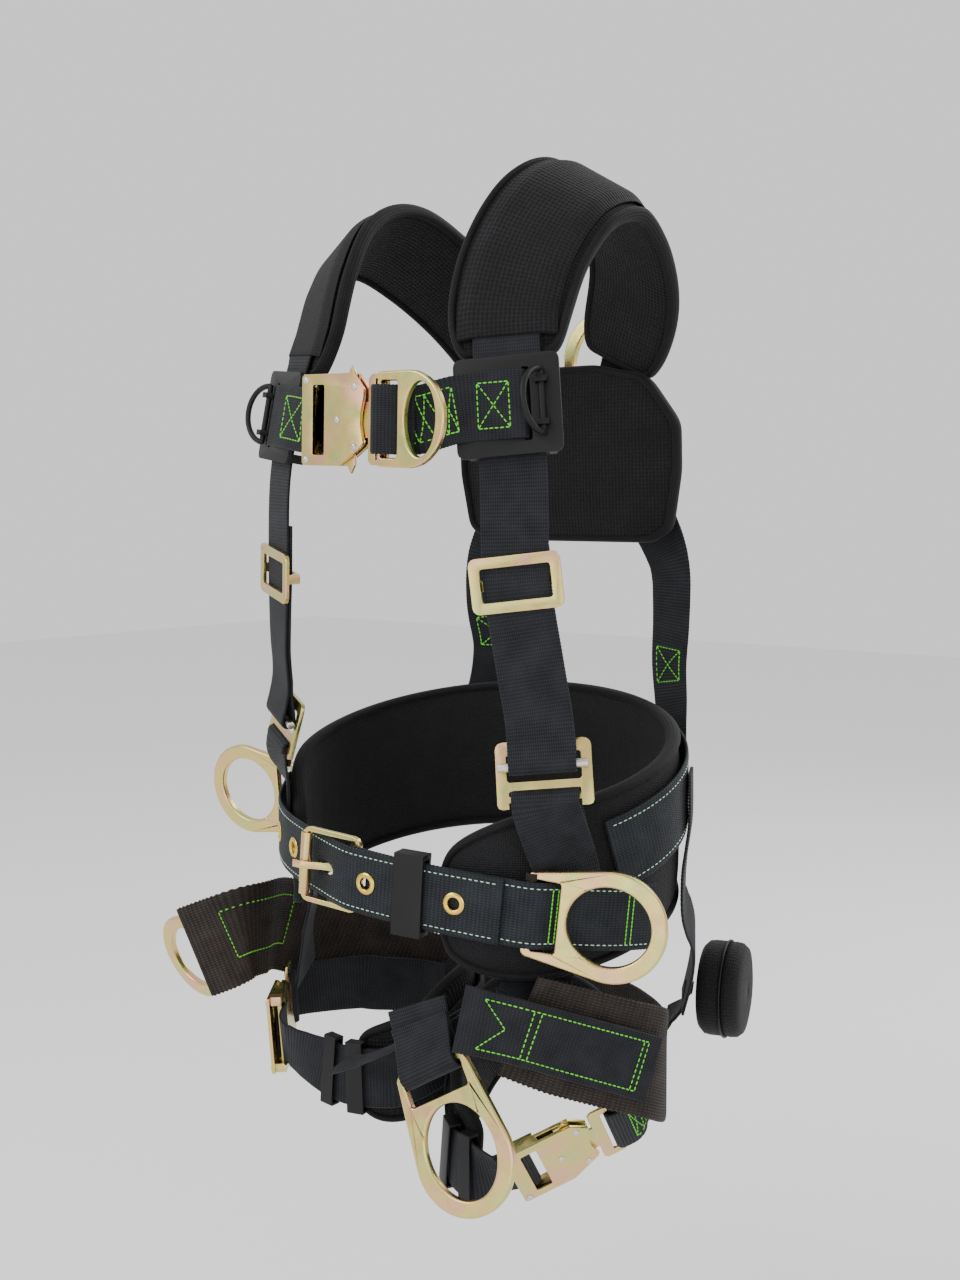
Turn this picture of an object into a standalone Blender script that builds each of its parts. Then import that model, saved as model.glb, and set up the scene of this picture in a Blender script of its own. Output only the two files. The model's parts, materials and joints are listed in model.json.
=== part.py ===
# Full-body climbing harness with a work-positioning belt, seat webs and leg loops.
# Frame: the wearer looks along -Y, the wearer's left side is +X, +Z is up, and the
# origin is the centre of the waist inside the belt. Lengths below are in millimetres;
# every mesh is written in metres.
import math

import bmesh
import bpy
from mathutils import Matrix, Vector

millimetre = 0.001
gap = 0.4                      # clearance kept between touching pieces

# waist and body
waistHalfWidth = 165.0         # half width of the belt line, left to right
waistHalfDepth = 128.0         # half depth of the belt line, front to back
beltRise = 0.33                # rise of the rear belt per millimetre towards the back
beltCentreHeight = 17.0        # height of the rear belt at the sides

# webbing
webWidth = 45.0                # load-bearing webbing
webThickness = 2.2
wideWebWidth = 75.0            # three-inch hip webbing
wideWebThickness = 3.0
padThickness = 10.0

# belt fittings, angles in degrees round the waist from the front towards the left
heelAngle = -4.0               # the belt buckle's web bar
buckleTilt = 5.5
rollerY = 45.0                 # roller centre beyond the web bar
grommetHole = 5.0
prongAngle = -13.5             # the hole that the prong passes through
grommetAngles = (-46.0, -31.0, prongAngle, 1.5, 25.0)
sideBarLeft = 43.5             # the side dees' bars
sideBarRight = -78.0

# hardware
deeLoopRadius = 7.2            # centre line of a web turned round a dee's bar
deeThickness = 6.0
deeBarWidth = 6.5
plateThickness = 3.0

nylonBlack = ((0.012, 0.013, 0.018), 0.75, 0.0)
nylonBrown = ((0.030, 0.022, 0.018), 0.8, 0.0)
meshBlack = ((0.010, 0.010, 0.011), 0.9, 0.0)
plasticBlack = ((0.015, 0.015, 0.016), 0.4, 0.0)
zincGold = ((0.72, 0.56, 0.22), 0.3, 1.0)
steel = ((0.75, 0.75, 0.74), 0.25, 1.0)


# ---------------------------------------------------------------- scene helpers

def clearScene():
    for item in list(bpy.data.objects):
        bpy.data.objects.remove(item, do_unlink=True)


def makeMaterial(name, look):
    colour, roughness, metallic = look
    material = bpy.data.materials.new(name)
    material.use_nodes = True
    shader = material.node_tree.nodes["Principled BSDF"]
    shader.inputs["Base Color"].default_value = (*colour, 1.0)
    shader.inputs["Roughness"].default_value = roughness
    shader.inputs["Metallic"].default_value = metallic
    material.diffuse_color = (*colour, 1.0)
    return material


def addObject(name, mesh, look, matrix=None):
    # scale a millimetre bmesh to metres, close its normals and link it as an object
    bmesh.ops.remove_doubles(mesh, verts=mesh.verts, dist=0.01)
    bmesh.ops.recalc_face_normals(mesh, faces=mesh.faces)
    bmesh.ops.scale(mesh, vec=(millimetre,) * 3, verts=mesh.verts)
    data = bpy.data.meshes.new(name)
    mesh.to_mesh(data)
    mesh.free()
    data.materials.append(makeMaterial(name, look))
    item = bpy.data.objects.new(name, data)
    bpy.context.collection.objects.link(item)
    if matrix is not None:
        placed = matrix.copy()
        placed.translation = matrix.translation * millimetre
        item.matrix_world = placed
    return item


def placement(origin, along, outward):
    # local X runs along, local Z faces outward, local Y completes the frame
    xAxis = Vector(along).normalized()
    zAxis = Vector(outward)
    zAxis = (zAxis - xAxis * zAxis.dot(xAxis)).normalized()
    yAxis = zAxis.cross(xAxis)
    matrix = Matrix((xAxis, yAxis, zAxis)).transposed().to_4x4()
    matrix.translation = Vector(origin)
    return matrix


# ---------------------------------------------------------------- outlines

def arc(centre, radius, start, end, steps):
    # points on a circle of the given radius, angles in degrees
    points = []
    for index in range(steps + 1):
        angle = math.radians(start + (end - start) * index / steps)
        points.append((centre[0] + radius * math.cos(angle),
                       centre[1] + radius * math.sin(angle)))
    return points


def roundedRectangle(width, height, radius, centre=(0.0, 0.0), steps=3):
    points = []
    corners = [(1, 1, 0), (-1, 1, 90), (-1, -1, 180), (1, -1, 270)]
    for signX, signY, start in corners:
        middle = (centre[0] + signX * (width / 2 - radius),
                  centre[1] + signY * (height / 2 - radius))
        points += arc(middle, radius, start, start + 90, steps)
    return points


def circleOutline(radius, centre=(0.0, 0.0), steps=20):
    return arc(centre, radius, 0, 360 - 360 / steps, steps - 1)


def plateMesh(outline, holes, low, high, into=None):
    # an outline with holes, filled and raised from low to high along local Z
    mesh = into or bmesh.new()
    edges = []
    for loop in [outline] + holes:
        verts = [mesh.verts.new((x, y, low)) for x, y in loop]
        count = len(verts)
        edges += [mesh.edges.new((verts[i], verts[(i + 1) % count])) for i in range(count)]
    filled = bmesh.ops.triangle_fill(mesh, use_beauty=True, edges=edges)
    faces = [part for part in filled["geom"] if isinstance(part, bmesh.types.BMFace)]
    raised = bmesh.ops.extrude_face_region(mesh, geom=faces)
    verts = [part for part in raised["geom"] if isinstance(part, bmesh.types.BMVert)]
    bmesh.ops.translate(mesh, verts=verts, vec=(0, 0, high - low))
    return mesh


def rodMesh(start, end, radius, sides=10):
    # a straight round bar with flat ends
    axis = Vector(end) - Vector(start)
    side = axis.orthogonal().normalized()
    other = axis.normalized().cross(side)
    mesh = bmesh.new()
    rings = []
    for base in (Vector(start), Vector(end)):
        ring = []
        for index in range(sides):
            angle = 2 * math.pi * index / sides
            offset = side * math.cos(angle) * radius + other * math.sin(angle) * radius
            ring.append(mesh.verts.new(base + offset))
        rings.append(ring)
    joinRings(mesh, rings)
    mesh.faces.new(rings[0])
    mesh.faces.new(rings[1])
    return mesh


def joinRings(mesh, rings, closed=False):
    pairs = list(zip(rings, rings[1:]))
    if closed:
        pairs.append((rings[-1], rings[0]))
    for first, second in pairs:
        count = len(first)
        for index in range(count):
            after = (index + 1) % count
            mesh.faces.new((first[index], first[after], second[after], second[index]))


def unite(name, meshes, look, matrix=None):
    # exact Boolean union of several closed meshes into one solid
    objects = [addObject(f"{name}_{index}", mesh, look) for index, mesh in enumerate(meshes)]
    body = objects[0]
    for other in objects[1:]:
        cut = body.modifiers.new("union", "BOOLEAN")
        cut.operation = "UNION"
        cut.solver = "EXACT"
        cut.object = other
    view = bpy.context.evaluated_depsgraph_get()
    data = bpy.data.meshes.new_from_object(body.evaluated_get(view))
    for other in objects:
        bpy.data.objects.remove(other, do_unlink=True)
    data.materials.clear()
    data.materials.append(makeMaterial(name, look))
    item = bpy.data.objects.new(name, data)
    bpy.context.collection.objects.link(item)
    if matrix is not None:
        placed = matrix.copy()
        placed.translation = matrix.translation * millimetre
        item.matrix_world = placed
    return item


# ---------------------------------------------------------------- webbing

def bodyNormal(point):
    # outward normal of the waist ellipse, level with the ground
    x, y, _ = point
    normal = Vector((x / waistHalfWidth ** 2, y / waistHalfDepth ** 2, 0))
    return normal.normalized()


def station(x, y, z, normal=None):
    # one point of a strap's centre line with the direction its outer face looks
    point = Vector((x, y, z))
    return (point, Vector(normal).normalized() if normal else bodyNormal((x, y, z)))


def smoothStations(stations, spacing):
    # centripetal Catmull-Rom curve through the stations, normals carried along
    points = [item[0] for item in stations]
    normals = [item[1] for item in stations]
    points = [points[0] * 2 - points[1]] + points + [points[-1] * 2 - points[-2]]
    normals = [normals[0]] + normals + [normals[-1]]
    result = []
    for index in range(1, len(points) - 2):
        p0, p1, p2, p3 = points[index - 1:index + 3]
        knots = [0.0]
        for first, second in ((p0, p1), (p1, p2), (p2, p3)):
            knots.append(knots[-1] + math.sqrt(max((second - first).length, 1e-6)))
        steps = max(1, round((p2 - p1).length / spacing))
        for step in range(steps):
            share = step / steps
            t = knots[1] + (knots[2] - knots[1]) * share
            a1 = p0.lerp(p1, (t - knots[0]) / (knots[1] - knots[0]))
            a2 = p1.lerp(p2, (t - knots[1]) / (knots[2] - knots[1]))
            a3 = p2.lerp(p3, (t - knots[2]) / (knots[3] - knots[2]))
            b1 = a1.lerp(a2, (t - knots[0]) / (knots[2] - knots[0]))
            b2 = a2.lerp(a3, (t - knots[1]) / (knots[3] - knots[1]))
            point = b1.lerp(b2, (t - knots[1]) / (knots[2] - knots[1]))
            normal = normals[index].lerp(normals[index + 1], share).normalized()
            result.append((point, normal))
    result.append((points[-2], normals[-2]))
    return result


def sweepMesh(stations, sectionAt, closed=False):
    # rings of section points (across, out) carried along the stations
    mesh = bmesh.new()
    rings = []
    count = len(stations)
    for index, (point, normal) in enumerate(stations):
        before = stations[(index - 1) % count if closed else max(index - 1, 0)][0]
        after = stations[(index + 1) % count if closed else min(index + 1, count - 1)][0]
        tangent = (after - before).normalized()
        across = tangent.cross(normal).normalized()
        outward = across.cross(tangent).normalized()
        ring = []
        for u, v in sectionAt(index / (count - 1)):
            ring.append(mesh.verts.new(point + across * u + outward * v))
        rings.append(ring)
    joinRings(mesh, rings, closed)
    if not closed:
        mesh.faces.new(rings[0])
        mesh.faces.new(rings[-1])
    return mesh


def flatSection(width, thickness):
    half = width / 2
    thin = thickness / 2
    return [(-half, -thin), (half, -thin), (half, thin), (-half, thin)]


def paddedSection(width, thickness):
    half = width / 2
    thin = thickness / 2
    edge = min(6.0, half * 0.4)
    return [(-half + edge, -thin), (half - edge, -thin), (half, -thin * 0.35), (half, thin * 0.35),
            (half - edge, thin), (-half + edge, thin), (-half, thin * 0.35), (-half, -thin * 0.35)]


def foldedEnd(path, radius, outerPly, tailLength, thickness=webThickness, settle=8.0):
    # the end of a strap turned round a bar and laid back along itself: outerPly says
    # whether the strap reaches the bar on its outer side (bar below) or inner side
    point, normal = path[-1]
    travel = (point - path[-2][0]).normalized()
    outward = (normal - travel * normal.dot(travel)).normalized()
    sign = 1.0 if outerPly else -1.0
    bar = point - outward * radius * sign
    turned = []
    for index in range(1, 7):
        angle = math.pi * index / 6
        radial = outward * sign * math.cos(angle) + travel * math.sin(angle)
        turned.append((bar + radial * radius, radial * sign))
    ply = (thickness + gap) * sign
    laid = []
    walked = 0.0
    for index in range(len(path) - 1, 0, -1):
        walked += (path[index][0] - path[index - 1][0]).length
        place, face = path[index - 1]
        if walked > tailLength:
            break
        if walked > 2.2 * radius + settle:
            laid.append((place - face * ply, -face))
    frame = placement(bar, travel.cross(outward), outward)
    return path + turned + laid, frame


def foldedStart(path, radius, outerPly, tailLength, thickness=webThickness):
    folded, frame = foldedEnd(path[::-1], radius, outerPly, tailLength, thickness)
    return folded[::-1], frame


def webbing(name, path, look=nylonBlack, width=webWidth, thickness=webThickness):
    mesh = sweepMesh(path, lambda share: flatSection(width, thickness))
    return addObject(name, mesh, look)


def shifted(stations, distance):
    # the same line moved along its own normals
    return [(point + normal * distance, normal) for point, normal in stations]


def mirrored(stations, shift=(0.0, 0.0, 0.0)):
    # the wearer's right side: the left side's stations reflected in X, then shifted
    flipped = []
    for point, normal in stations:
        place = Vector((-point.x, point.y, point.z)) + Vector(shift)
        flipped.append((place, Vector((-normal.x, normal.y, normal.z))))
    return flipped


def onPath(path, height):
    # the last place where a strap crosses a height, with its travel and outer face
    for index in range(len(path) - 1, 0, -1):
        (first, face), (second, _) = path[index - 1:index + 1]
        if (first.z - height) * (second.z - height) <= 0 and first.z != second.z:
            share = (first.z - height) / (first.z - second.z)
            travel = (second - first).normalized()
            return first.lerp(second, share), travel, (face - travel * face.dot(travel)).normalized()
    raise ValueError(f"no crossing at {height}")


def waistPoint(angle, offset, height):
    # a place on the waist ellipse, angle in degrees from the front towards the left
    turn = math.radians(angle)
    x = (waistHalfWidth + offset) * math.sin(turn)
    y = -(waistHalfDepth + offset) * math.cos(turn)
    return Vector((x, y, height))


def waistStation(angle, offset, height, lean=0.0):
    point = waistPoint(angle, offset, height)
    normal = bodyNormal(point)
    normal.z = lean
    return (point, normal.normalized())


# ---------------------------------------------------------------- hardware shapes

deeLength = 104.0              # bar's outer edge to the crown
deeShoulder = 58.0             # width over the bar
deeCrownRadius = 37.5
deeSlotWidth = 47.5
deeSlotReach = 20.0            # bar centre to the far side of the web slot


def deeOutline(length, shoulder, crownRadius, edge):
    # straight bar side with rounded corners, sides flaring to a round crown
    crown = length - edge - crownRadius
    corner = 5.0
    half = shoulder / 2
    rise = math.degrees(math.asin((crownRadius - half) / (crown + edge)))
    points = arc((half - corner, corner - edge), corner, -90, 0, 3)
    points += arc((0.0, crown), crownRadius, -rise, 180 + rise, 20)
    points += arc((corner - half, corner - edge), corner, 180, 270, 3)
    return points


def deeMesh(length=deeLength, shoulder=deeShoulder, crownRadius=deeCrownRadius,
            slotWidth=deeSlotWidth, slotReach=deeSlotReach, bar=deeBarWidth,
            thickness=deeThickness, rim=11.0):
    # forged dee with a rectangular web slot and a large round eye
    edge = bar / 2
    outline = deeOutline(length, shoulder, crownRadius, edge)
    slot = roundedRectangle(slotWidth, slotReach - edge, 2.0, (0.0, (slotReach + edge) / 2), 2)
    eyeLow = slotReach + 6.0
    eyeHigh = length - edge - rim
    middle = (eyeLow + eyeHigh) / 2
    reach = (eyeHigh - eyeLow) / 2
    across = crownRadius - rim
    eye = [(x * across, middle + y * reach) for x, y in circleOutline(1.0, steps=22)]
    return plateMesh(outline, [slot, eye], -thickness / 2, thickness / 2)


def tilted(frame, angle):
    # the same placement turned about its own X axis, in degrees
    return frame @ Matrix.Rotation(math.radians(angle), 4, "X")


def offsetFrame(frame, x=0.0, y=0.0, z=0.0):
    return frame @ Matrix.Translation((x, y, z))


bodyBarX = -19.0               # quick-connect body's web bar
bodyBarZ = -1.0
bodyBarRadius = 2.4
bodyWebRadius = bodyBarRadius + gap + webThickness / 2


def boxMesh(low, high):
    mesh = bmesh.new()
    bmesh.ops.create_cube(mesh, size=1.0)
    size = [b - a for a, b in zip(low, high)]
    middle = [(a + b) / 2 for a, b in zip(low, high)]
    bmesh.ops.scale(mesh, vec=size, verts=mesh.verts)
    bmesh.ops.translate(mesh, vec=middle, verts=mesh.verts)
    return mesh


def quickBody(name, frame):
    # front plate with a web slot, rear plate, the wall between them, cheeks and web bar
    outline = [(-31, -29), (-29, -31), (8, -31), (29, -18), (31, -15), (28, -4), (28, 4),
               (31, 15), (31, 20), (20, 31), (-29, 31), (-31, 29)]
    slot = roundedRectangle(12.0, 47.5, 1.5, (-14.0, 0.0), 2)
    front = plateMesh(outline, [slot], 4.5, 7.0)
    rear = plateMesh([(-7, -31), (8, -31), (29, -18), (31, -15), (28, -4), (28, 4),
                      (31, 15), (31, 20), (20, 31), (-7, 31)], [], -1.0, 1.5)
    wall = boxMesh((-7.0, -31.0, -1.0), (-4.0, 31.0, 5.0))
    upper = boxMesh((-26.0, 24.0, -3.4), (-6.0, 31.0, 5.0))
    lower = boxMesh((-26.0, -31.0, -3.4), (-6.0, -24.0, 5.0))
    bar = boxMesh((bodyBarX - 1.8, -25.0, bodyBarZ - 1.6), (bodyBarX + 1.8, 25.0, bodyBarZ + 1.6))
    return unite(name, [front, rear, wall, upper, lower, bar], zincGold, frame)


def quickTab(name, frame):
    # tongue inside the body, shoulders outside it and a bar for the web
    outline = [(0, -10), (4, -12), (33, -12), (33, -27), (36, -30), (49, -30), (51.5, -27.5),
               (51.5, 27.5), (49, 30), (36, 30), (33, 27), (33, 12), (4, 12), (0, 10)]
    slot = roundedRectangle(5.5, 47.5, 1.0, (44.2, 0.0), 1)
    return addObject(name, plateMesh(outline, [slot], 1.9, 4.1), zincGold, frame)


def quickLever(name, frame, side):
    # pointed release lever between the plates, showing past the body's edge
    outline = [(8, 16), (16, 16), (20, 24), (20, 30), (16, 36), (13, 31), (8, 30)]
    if side < 0:
        outline = [(x, -y) for x, y in outline[::-1]]
    return addObject(name, plateMesh(outline, [], 1.9, 4.1), zincGold, frame)


def quickConnect(name, frame, levers=2):
    quickBody(f"{name}_buckle_body", frame)
    quickTab(f"{name}_buckle_tab", frame)
    for word, side in (("upper", 1), ("lower", -1))[:levers]:
        quickLever(f"{name}_release_{word}", frame, side)


tabBarX = 49.2                 # centre of the tab's web bar in the buckle's own frame
tabBarZ = 3.0
tabWebRadius = 3.7


def guidePlate(name, frame):
    # plastic plate: the shoulder web runs behind its top and bottom bars, the chest web
    # turns through its upright slot, two small arches hold the lanyard ring
    outline = roundedRectangle(70.0, 66.0, 5.0)
    slot = roundedRectangle(5.0, 48.0, 1.0, (12.6, 0.0), 1)
    plate = plateMesh(outline, [slot], 5.0, 8.0)
    pieces = [plate]
    for end in (-1, 1):
        low, high = sorted((end * 25.5, end * 32.0))
        pieces.append(boxMesh((-29.0, low, -6.4), (29.0, high, -3.8)))
        for side in (-1, 1):
            near, far = sorted((side * 24.0, side * 29.0))
            pieces.append(boxMesh((near, low, -6.0), (far, high, 6.0)))
    for end in (-1, 1):
        low, high = sorted((end * 12.0, end * 16.0))
        pieces.append(boxMesh((19.0, low, 7.4), (20.6, high, 13.5)))
        pieces.append(boxMesh((25.8, low, 7.4), (27.4, high, 13.5)))
        pieces.append(boxMesh((19.0, low, 12.9), (27.4, high, 14.5)))
    return unite(name, pieces, plasticBlack, frame)


guideRingX = 23.2
guideRingZ = 10.5


def guideRing(name, frame):
    # small D of round plastic stock; its straight side is the pivot
    path = []
    halfLength = 21.0
    reach = 21.0
    for index in range(25):
        angle = math.radians(-90 + 180 * index / 24)
        place = Vector((reach * math.cos(angle), halfLength * math.sin(angle), 0))
        path.append((place, Vector((0, 0, 1))))
    for index in range(1, 6):
        place = Vector((0, halfLength - 2 * halfLength * index / 6, 0))
        path.append((place, Vector((0, 0, 1))))
    section = [(2.1 * math.cos(a), 2.1 * math.sin(a)) for a in
               [2 * math.pi * k / 6 for k in range(6)]]
    mesh = sweepMesh(path, lambda share: section, closed=True)
    return addObject(name, mesh, plasticBlack, frame)


def adjusterMesh():
    # gold ring in front of both plies and a bar behind them, joined beside the web
    ring = plateMesh(roundedRectangle(61.0, 37.0, 5.0), [roundedRectangle(47.5, 22.5, 2.0)],
                     1.6, 4.6)
    pieces = [ring, boxMesh((-29.0, -3.5, -7.2), (29.0, 3.5, -4.8))]
    for side in (-1, 1):
        near, far = sorted((side * 24.2, side * 29.0))
        pieces.append(boxMesh((near, -3.5, -6.5), (far, 3.5, 2.5)))
    return pieces


def torsoBuckleMesh():
    # plate with a window for the sliding bar, a middle bar, two legs and the web bar
    outline = arc((27.0, -12.5), 5.0, -90, 0, 3) + arc((29.0, 24.0), 3.0, 0, 90, 2)
    outline += [(24.2, 27.0), (24.2, 22.8), (-24.2, 22.8), (-24.2, 27.0)]
    outline += arc((-29.0, 24.0), 3.0, 90, 180, 2) + arc((-27.0, -12.5), 5.0, 180, 270, 3)
    window = roundedRectangle(50.0, 19.0, 1.5, (0.0, 0.0), 1)
    webSlot = roundedRectangle(48.0, 4.2, 0.8, (0.0, 17.1), 1)
    return plateMesh(outline, [window, webSlot], -1.5, 1.5)


torsoLowerBarY = 21.0          # web bar at the foot of the torso buckle
torsoLowerRadius = 4.2


# ---------------------------------------------------------------- shoulders and chest

rightShift = (-8.0, 4.0, 0.0)  # the right-hand straps sit a little wider than the left


def shoulderLine():
    # from the rear of the belt up the back, over the shoulder and down to the torso buckle
    return [
        station(97, 120, 4, (0.5, 0.85, 0.0)),
        station(94, 123, 45, (0.5, 0.85, 0.0)),
        station(88, 131, 80, (0.45, 0.9, 0.0)),
        station(84, 134, 112, (0.4, 0.92, 0.0)),
        station(86, 133, 152, (0.35, 0.93, 0.0)),
        station(84, 132, 192, (0.3, 0.95, 0.0)),
        station(64, 132, 232, (0.15, 1.0, 0.0)),
        station(38, 132, 268, (0.1, 1.0, 0.05)),
        station(32, 132, 302, (0.05, 1.0, 0.1)),
        station(48, 124, 350, (0.15, 0.93, 0.3)),
        station(74, 103, 402, (0.3, 0.75, 0.55)),
        station(91, 60, 441, (0.42, 0.42, 0.8)),
        station(100, 12, 462, (0.5, 0.0, 0.86)),
        station(99, -34, 449, (0.5, -0.45, 0.74)),
        station(92, -66, 412, (0.45, -0.8, 0.4)),
        station(89, -84, 368, (0.42, -0.9, 0.15)),
        station(94, -92, 336, (0.45, -0.89, 0.08)),
        station(99, -95, 300, (0.45, -0.89, 0.05)),
        station(105, -99, 256, (0.45, -0.89, 0.0)),
        station(108, -99, 186, (0.45, -0.89, 0.0)),
        station(116, -95, 130, (0.5, -0.87, -0.02)),
        station(122, -93, 94, (0.5, -0.87, -0.05)),
        station(128, -98, 68, (0.5, -0.87, -0.05)),
    ]


def sideLine(stations, side):
    # the wearer's right shoulder sits lower, and that strap ends closer to the body
    if side > 0:
        return stations
    line = []
    for point, normal in mirrored(stations, rightShift):
        point.z -= 0.1 * max(0.0, point.z - 300.0)
        if point.z < 150.0:
            point.y += 0.16 * (150.0 - point.z)
            point.z += 0.12 * (150.0 - point.z)
        line.append((point, normal))
    return line


def buildShoulder(side, word):
    line = smoothStations(sideLine(shoulderLine(), side), 12.0)
    path, bar = foldedEnd(line, 4.6, True, 150.0)
    webbing(f"shoulder_web_{word}", path)
    rod = rodMesh((-30.0, 0, 0), (30.0, 0, 0), 3.0, 8)
    addObject(f"torso_bar_{word}", rod, steel, bar)
    plate = offsetFrame(bar, 0, 0, -5.5)
    addObject(f"torso_buckle_{word}", torsoBuckleMesh(), zincGold, plate)
    buildPad(side, word)
    point, travel, face = onPath(line, 186.0)
    adjuster = placement(point, travel.cross(face), face)
    unite(f"torso_adjuster_{word}", adjusterMesh(), zincGold, adjuster)
    return line, plate


def buildPad(side, word):
    pad = sideLine(shoulderLine(), side)[9:17]
    inner = smoothStations(shifted(pad, -(webThickness / 2 + 1.6 + padThickness / 2)), 12.0)

    def section(share):
        ends = min(share, 1 - share)
        width = 82.0 - 22.0 * math.exp(-ends * 22.0)
        return paddedSection(width, padThickness)

    addObject(f"shoulder_pad_{word}", sweepMesh(inner, section), meshBlack)


def guideFrame(line, side):
    point, travel, face = onPath(line, 300.0)
    outer = -travel.cross(face) if side > 0 else travel.cross(face)
    if outer.x * side < 0:
        outer = -outer
    return placement(point, outer, face)


def worldStation(frame, x, y, z, face):
    place = frame @ Vector((x, y, z))
    normal = frame.to_3x3() @ Vector(face)
    return (place, normal)


def guideTurn(frame):
    # chest web behind the plate, up through its slot and back across the front
    path = [worldStation(frame, -22, 0, 3.4, (0, 0, -1)), worldStation(frame, 2, 0, 3.4, (0, 0, -1))]
    for index in range(7):
        angle = math.pi * index / 6
        x = 9.0 + 3.1 * math.sin(angle)
        z = 6.5 - 3.1 * math.cos(angle)
        path.append(worldStation(frame, x, 0, z, (math.sin(angle), 0, -math.cos(angle))))
    path.append(worldStation(frame, 0, 0, 9.6, (0, 0, 1)))
    path.append(worldStation(frame, -33, 0, 9.6, (0, 0, 1)))
    return path


chestBuckleCentre = (-18.0, -132.0, 294.0)
chestAlong = (0.995, -0.087, -0.03)
chestOutward = (-0.087, -0.995, 0.0)
chestDeeZ = 8.7                # dee bar above the tab in the buckle frame
chestLoopRadius = 7.2


def buildChest(leftGuide, rightGuide):
    for word, frame in (("left", leftGuide), ("right", rightGuide)):
        guidePlate(f"chest_guide_{word}", frame)
        ring = offsetFrame(frame, guideRingX, 0, guideRingZ)
        folded = 115.0 if word == "left" else 20.0
        turn = Matrix.Rotation(math.radians(-folded), 4, "Y")
        guideRing(f"lanyard_ring_{word}", ring @ turn)
    buckle = placement(chestBuckleCentre, chestAlong, chestOutward)
    quickConnect("chest", buckle)
    buildChestLeft(leftGuide, buckle)
    buildChestRight(rightGuide, buckle)


def buildChestLeft(guide, buckle):
    deeBar = offsetFrame(buckle, tabBarX, 0, chestDeeZ)
    turn = guideTurn(guide)
    loopCentre = 6.9
    near = worldStation(buckle, tabBarX, 0, loopCentre - chestLoopRadius, (0, 0, 1))
    before = worldStation(buckle, tabBarX + 22, 0, loopCentre - chestLoopRadius - 3.5, (0.15, 0, 1))
    middle = smoothStations([turn[-1], before, near], 18.0)
    path, _ = foldedEnd(turn[:-1] + middle, chestLoopRadius, False, 46.0, settle=3.5)
    webbing("chest_web_left", path)
    mesh = deeMesh(length=60.0, shoulder=62.0, crownRadius=31.5, slotWidth=49.6,
                   slotReach=17.0, bar=5.2, thickness=5.2, rim=7.5)
    upright = Matrix(((0, 1, 0, 0), (-1, 0, 0, 0), (0, 0, 1, 0), (0, 0, 0, 1)))
    addObject("chest_dee", mesh, zincGold, tilted(deeBar @ upright, -3.0))


def buildChestRight(guide, buckle):
    turn = guideTurn(guide)
    z = bodyBarZ - bodyWebRadius
    near = worldStation(buckle, bodyBarX, 0, z, (0, 0, 1))
    before = worldStation(buckle, bodyBarX - 20, 0, z, (0, 0, 1))
    middle = smoothStations([turn[-1], before, near], 12.0)
    path, _ = foldedEnd(turn[:-1] + middle, bodyWebRadius, False, 26.0)
    webbing("chest_web_right", path)


# ---------------------------------------------------------------- back

def buildBack():
    outline = []
    for x, y in ((96, 52), (104, 8), (104, -28), (78, -62), (30, -72)):
        outline.append((x, y))
    outline += [(-x, y) for x, y in outline[::-1]]
    outline += [(-84, 54), (-20, 60), (20, 60), (84, 54)]
    frame = placement((0, 112, 270), (1, 0, 0), (0, 1, 0.05))
    addObject("dorsal_pad", plateMesh(outline, [], -5.0, 5.0), meshBlack, frame)
    plate = placement((0, 141.0, 290), (1, 0, 0), (0, 1, 0.05))
    slots = [roundedRectangle(7, 50, 2, (x, 0), 1) for x in (-33, 33)]
    addObject("dorsal_plate", plateMesh(roundedRectangle(88, 74, 8), slots, -1.5, 1.5),
              plasticBlack, plate)
    dee = placement((0, 149.5, 300), (-1, 0, 0), (0, 1, 0))
    addObject("dorsal_dee", deeMesh(), zincGold, tilted(dee, 14.0))


# ---------------------------------------------------------------- waist

def beltHeight(angle):
    # height of the rear belt's centre line round the waist
    return beltCentreHeight - beltRise * waistHalfDepth * math.cos(math.radians(angle))


def buildWaistPad():
    # shaped pad: round tips at the front, tallest at the back
    stations = []
    count = 34
    first, last = 21.0, 316.0
    for index in range(count + 1):
        angle = first + (last - first) * index / count
        stations.append(waistStation(angle, -6.4 - padThickness / 2, 0.0))
    mesh = bmesh.new()
    rings = []
    for index, (point, normal) in enumerate(stations):
        angle = first + (last - first) * index / count
        low, high = padEdges(angle, first, last)
        middle = (low + high) / 2
        half = (high - low) / 2
        ring = []
        for u, v in paddedSection(2 * half, padThickness):
            ring.append(mesh.verts.new(point + Vector((0, 0, middle + u)) + normal * v))
        rings.append(ring)
    joinRings(mesh, rings)
    mesh.faces.new(rings[0])
    mesh.faces.new(rings[-1])
    return addObject("waist_pad", mesh, meshBlack)


def padEdges(angle, first, last):
    # lower and upper edge of the waist pad; the tips close on a rounded end
    along = min(angle - first, last - angle)
    tip = 1.0 - max(0.0, 1.0 - along / 34.0) ** 2
    rise = 0.5 - 0.5 * math.cos(math.radians(min(180.0, abs(angle if angle < 180 else 360 - angle))))
    centre = -36.0 + 70.0 * rise
    half = 24.0 + 34.0 * math.sqrt(max(tip, 0.0))
    return centre - half, centre + half * 0.98


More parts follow.
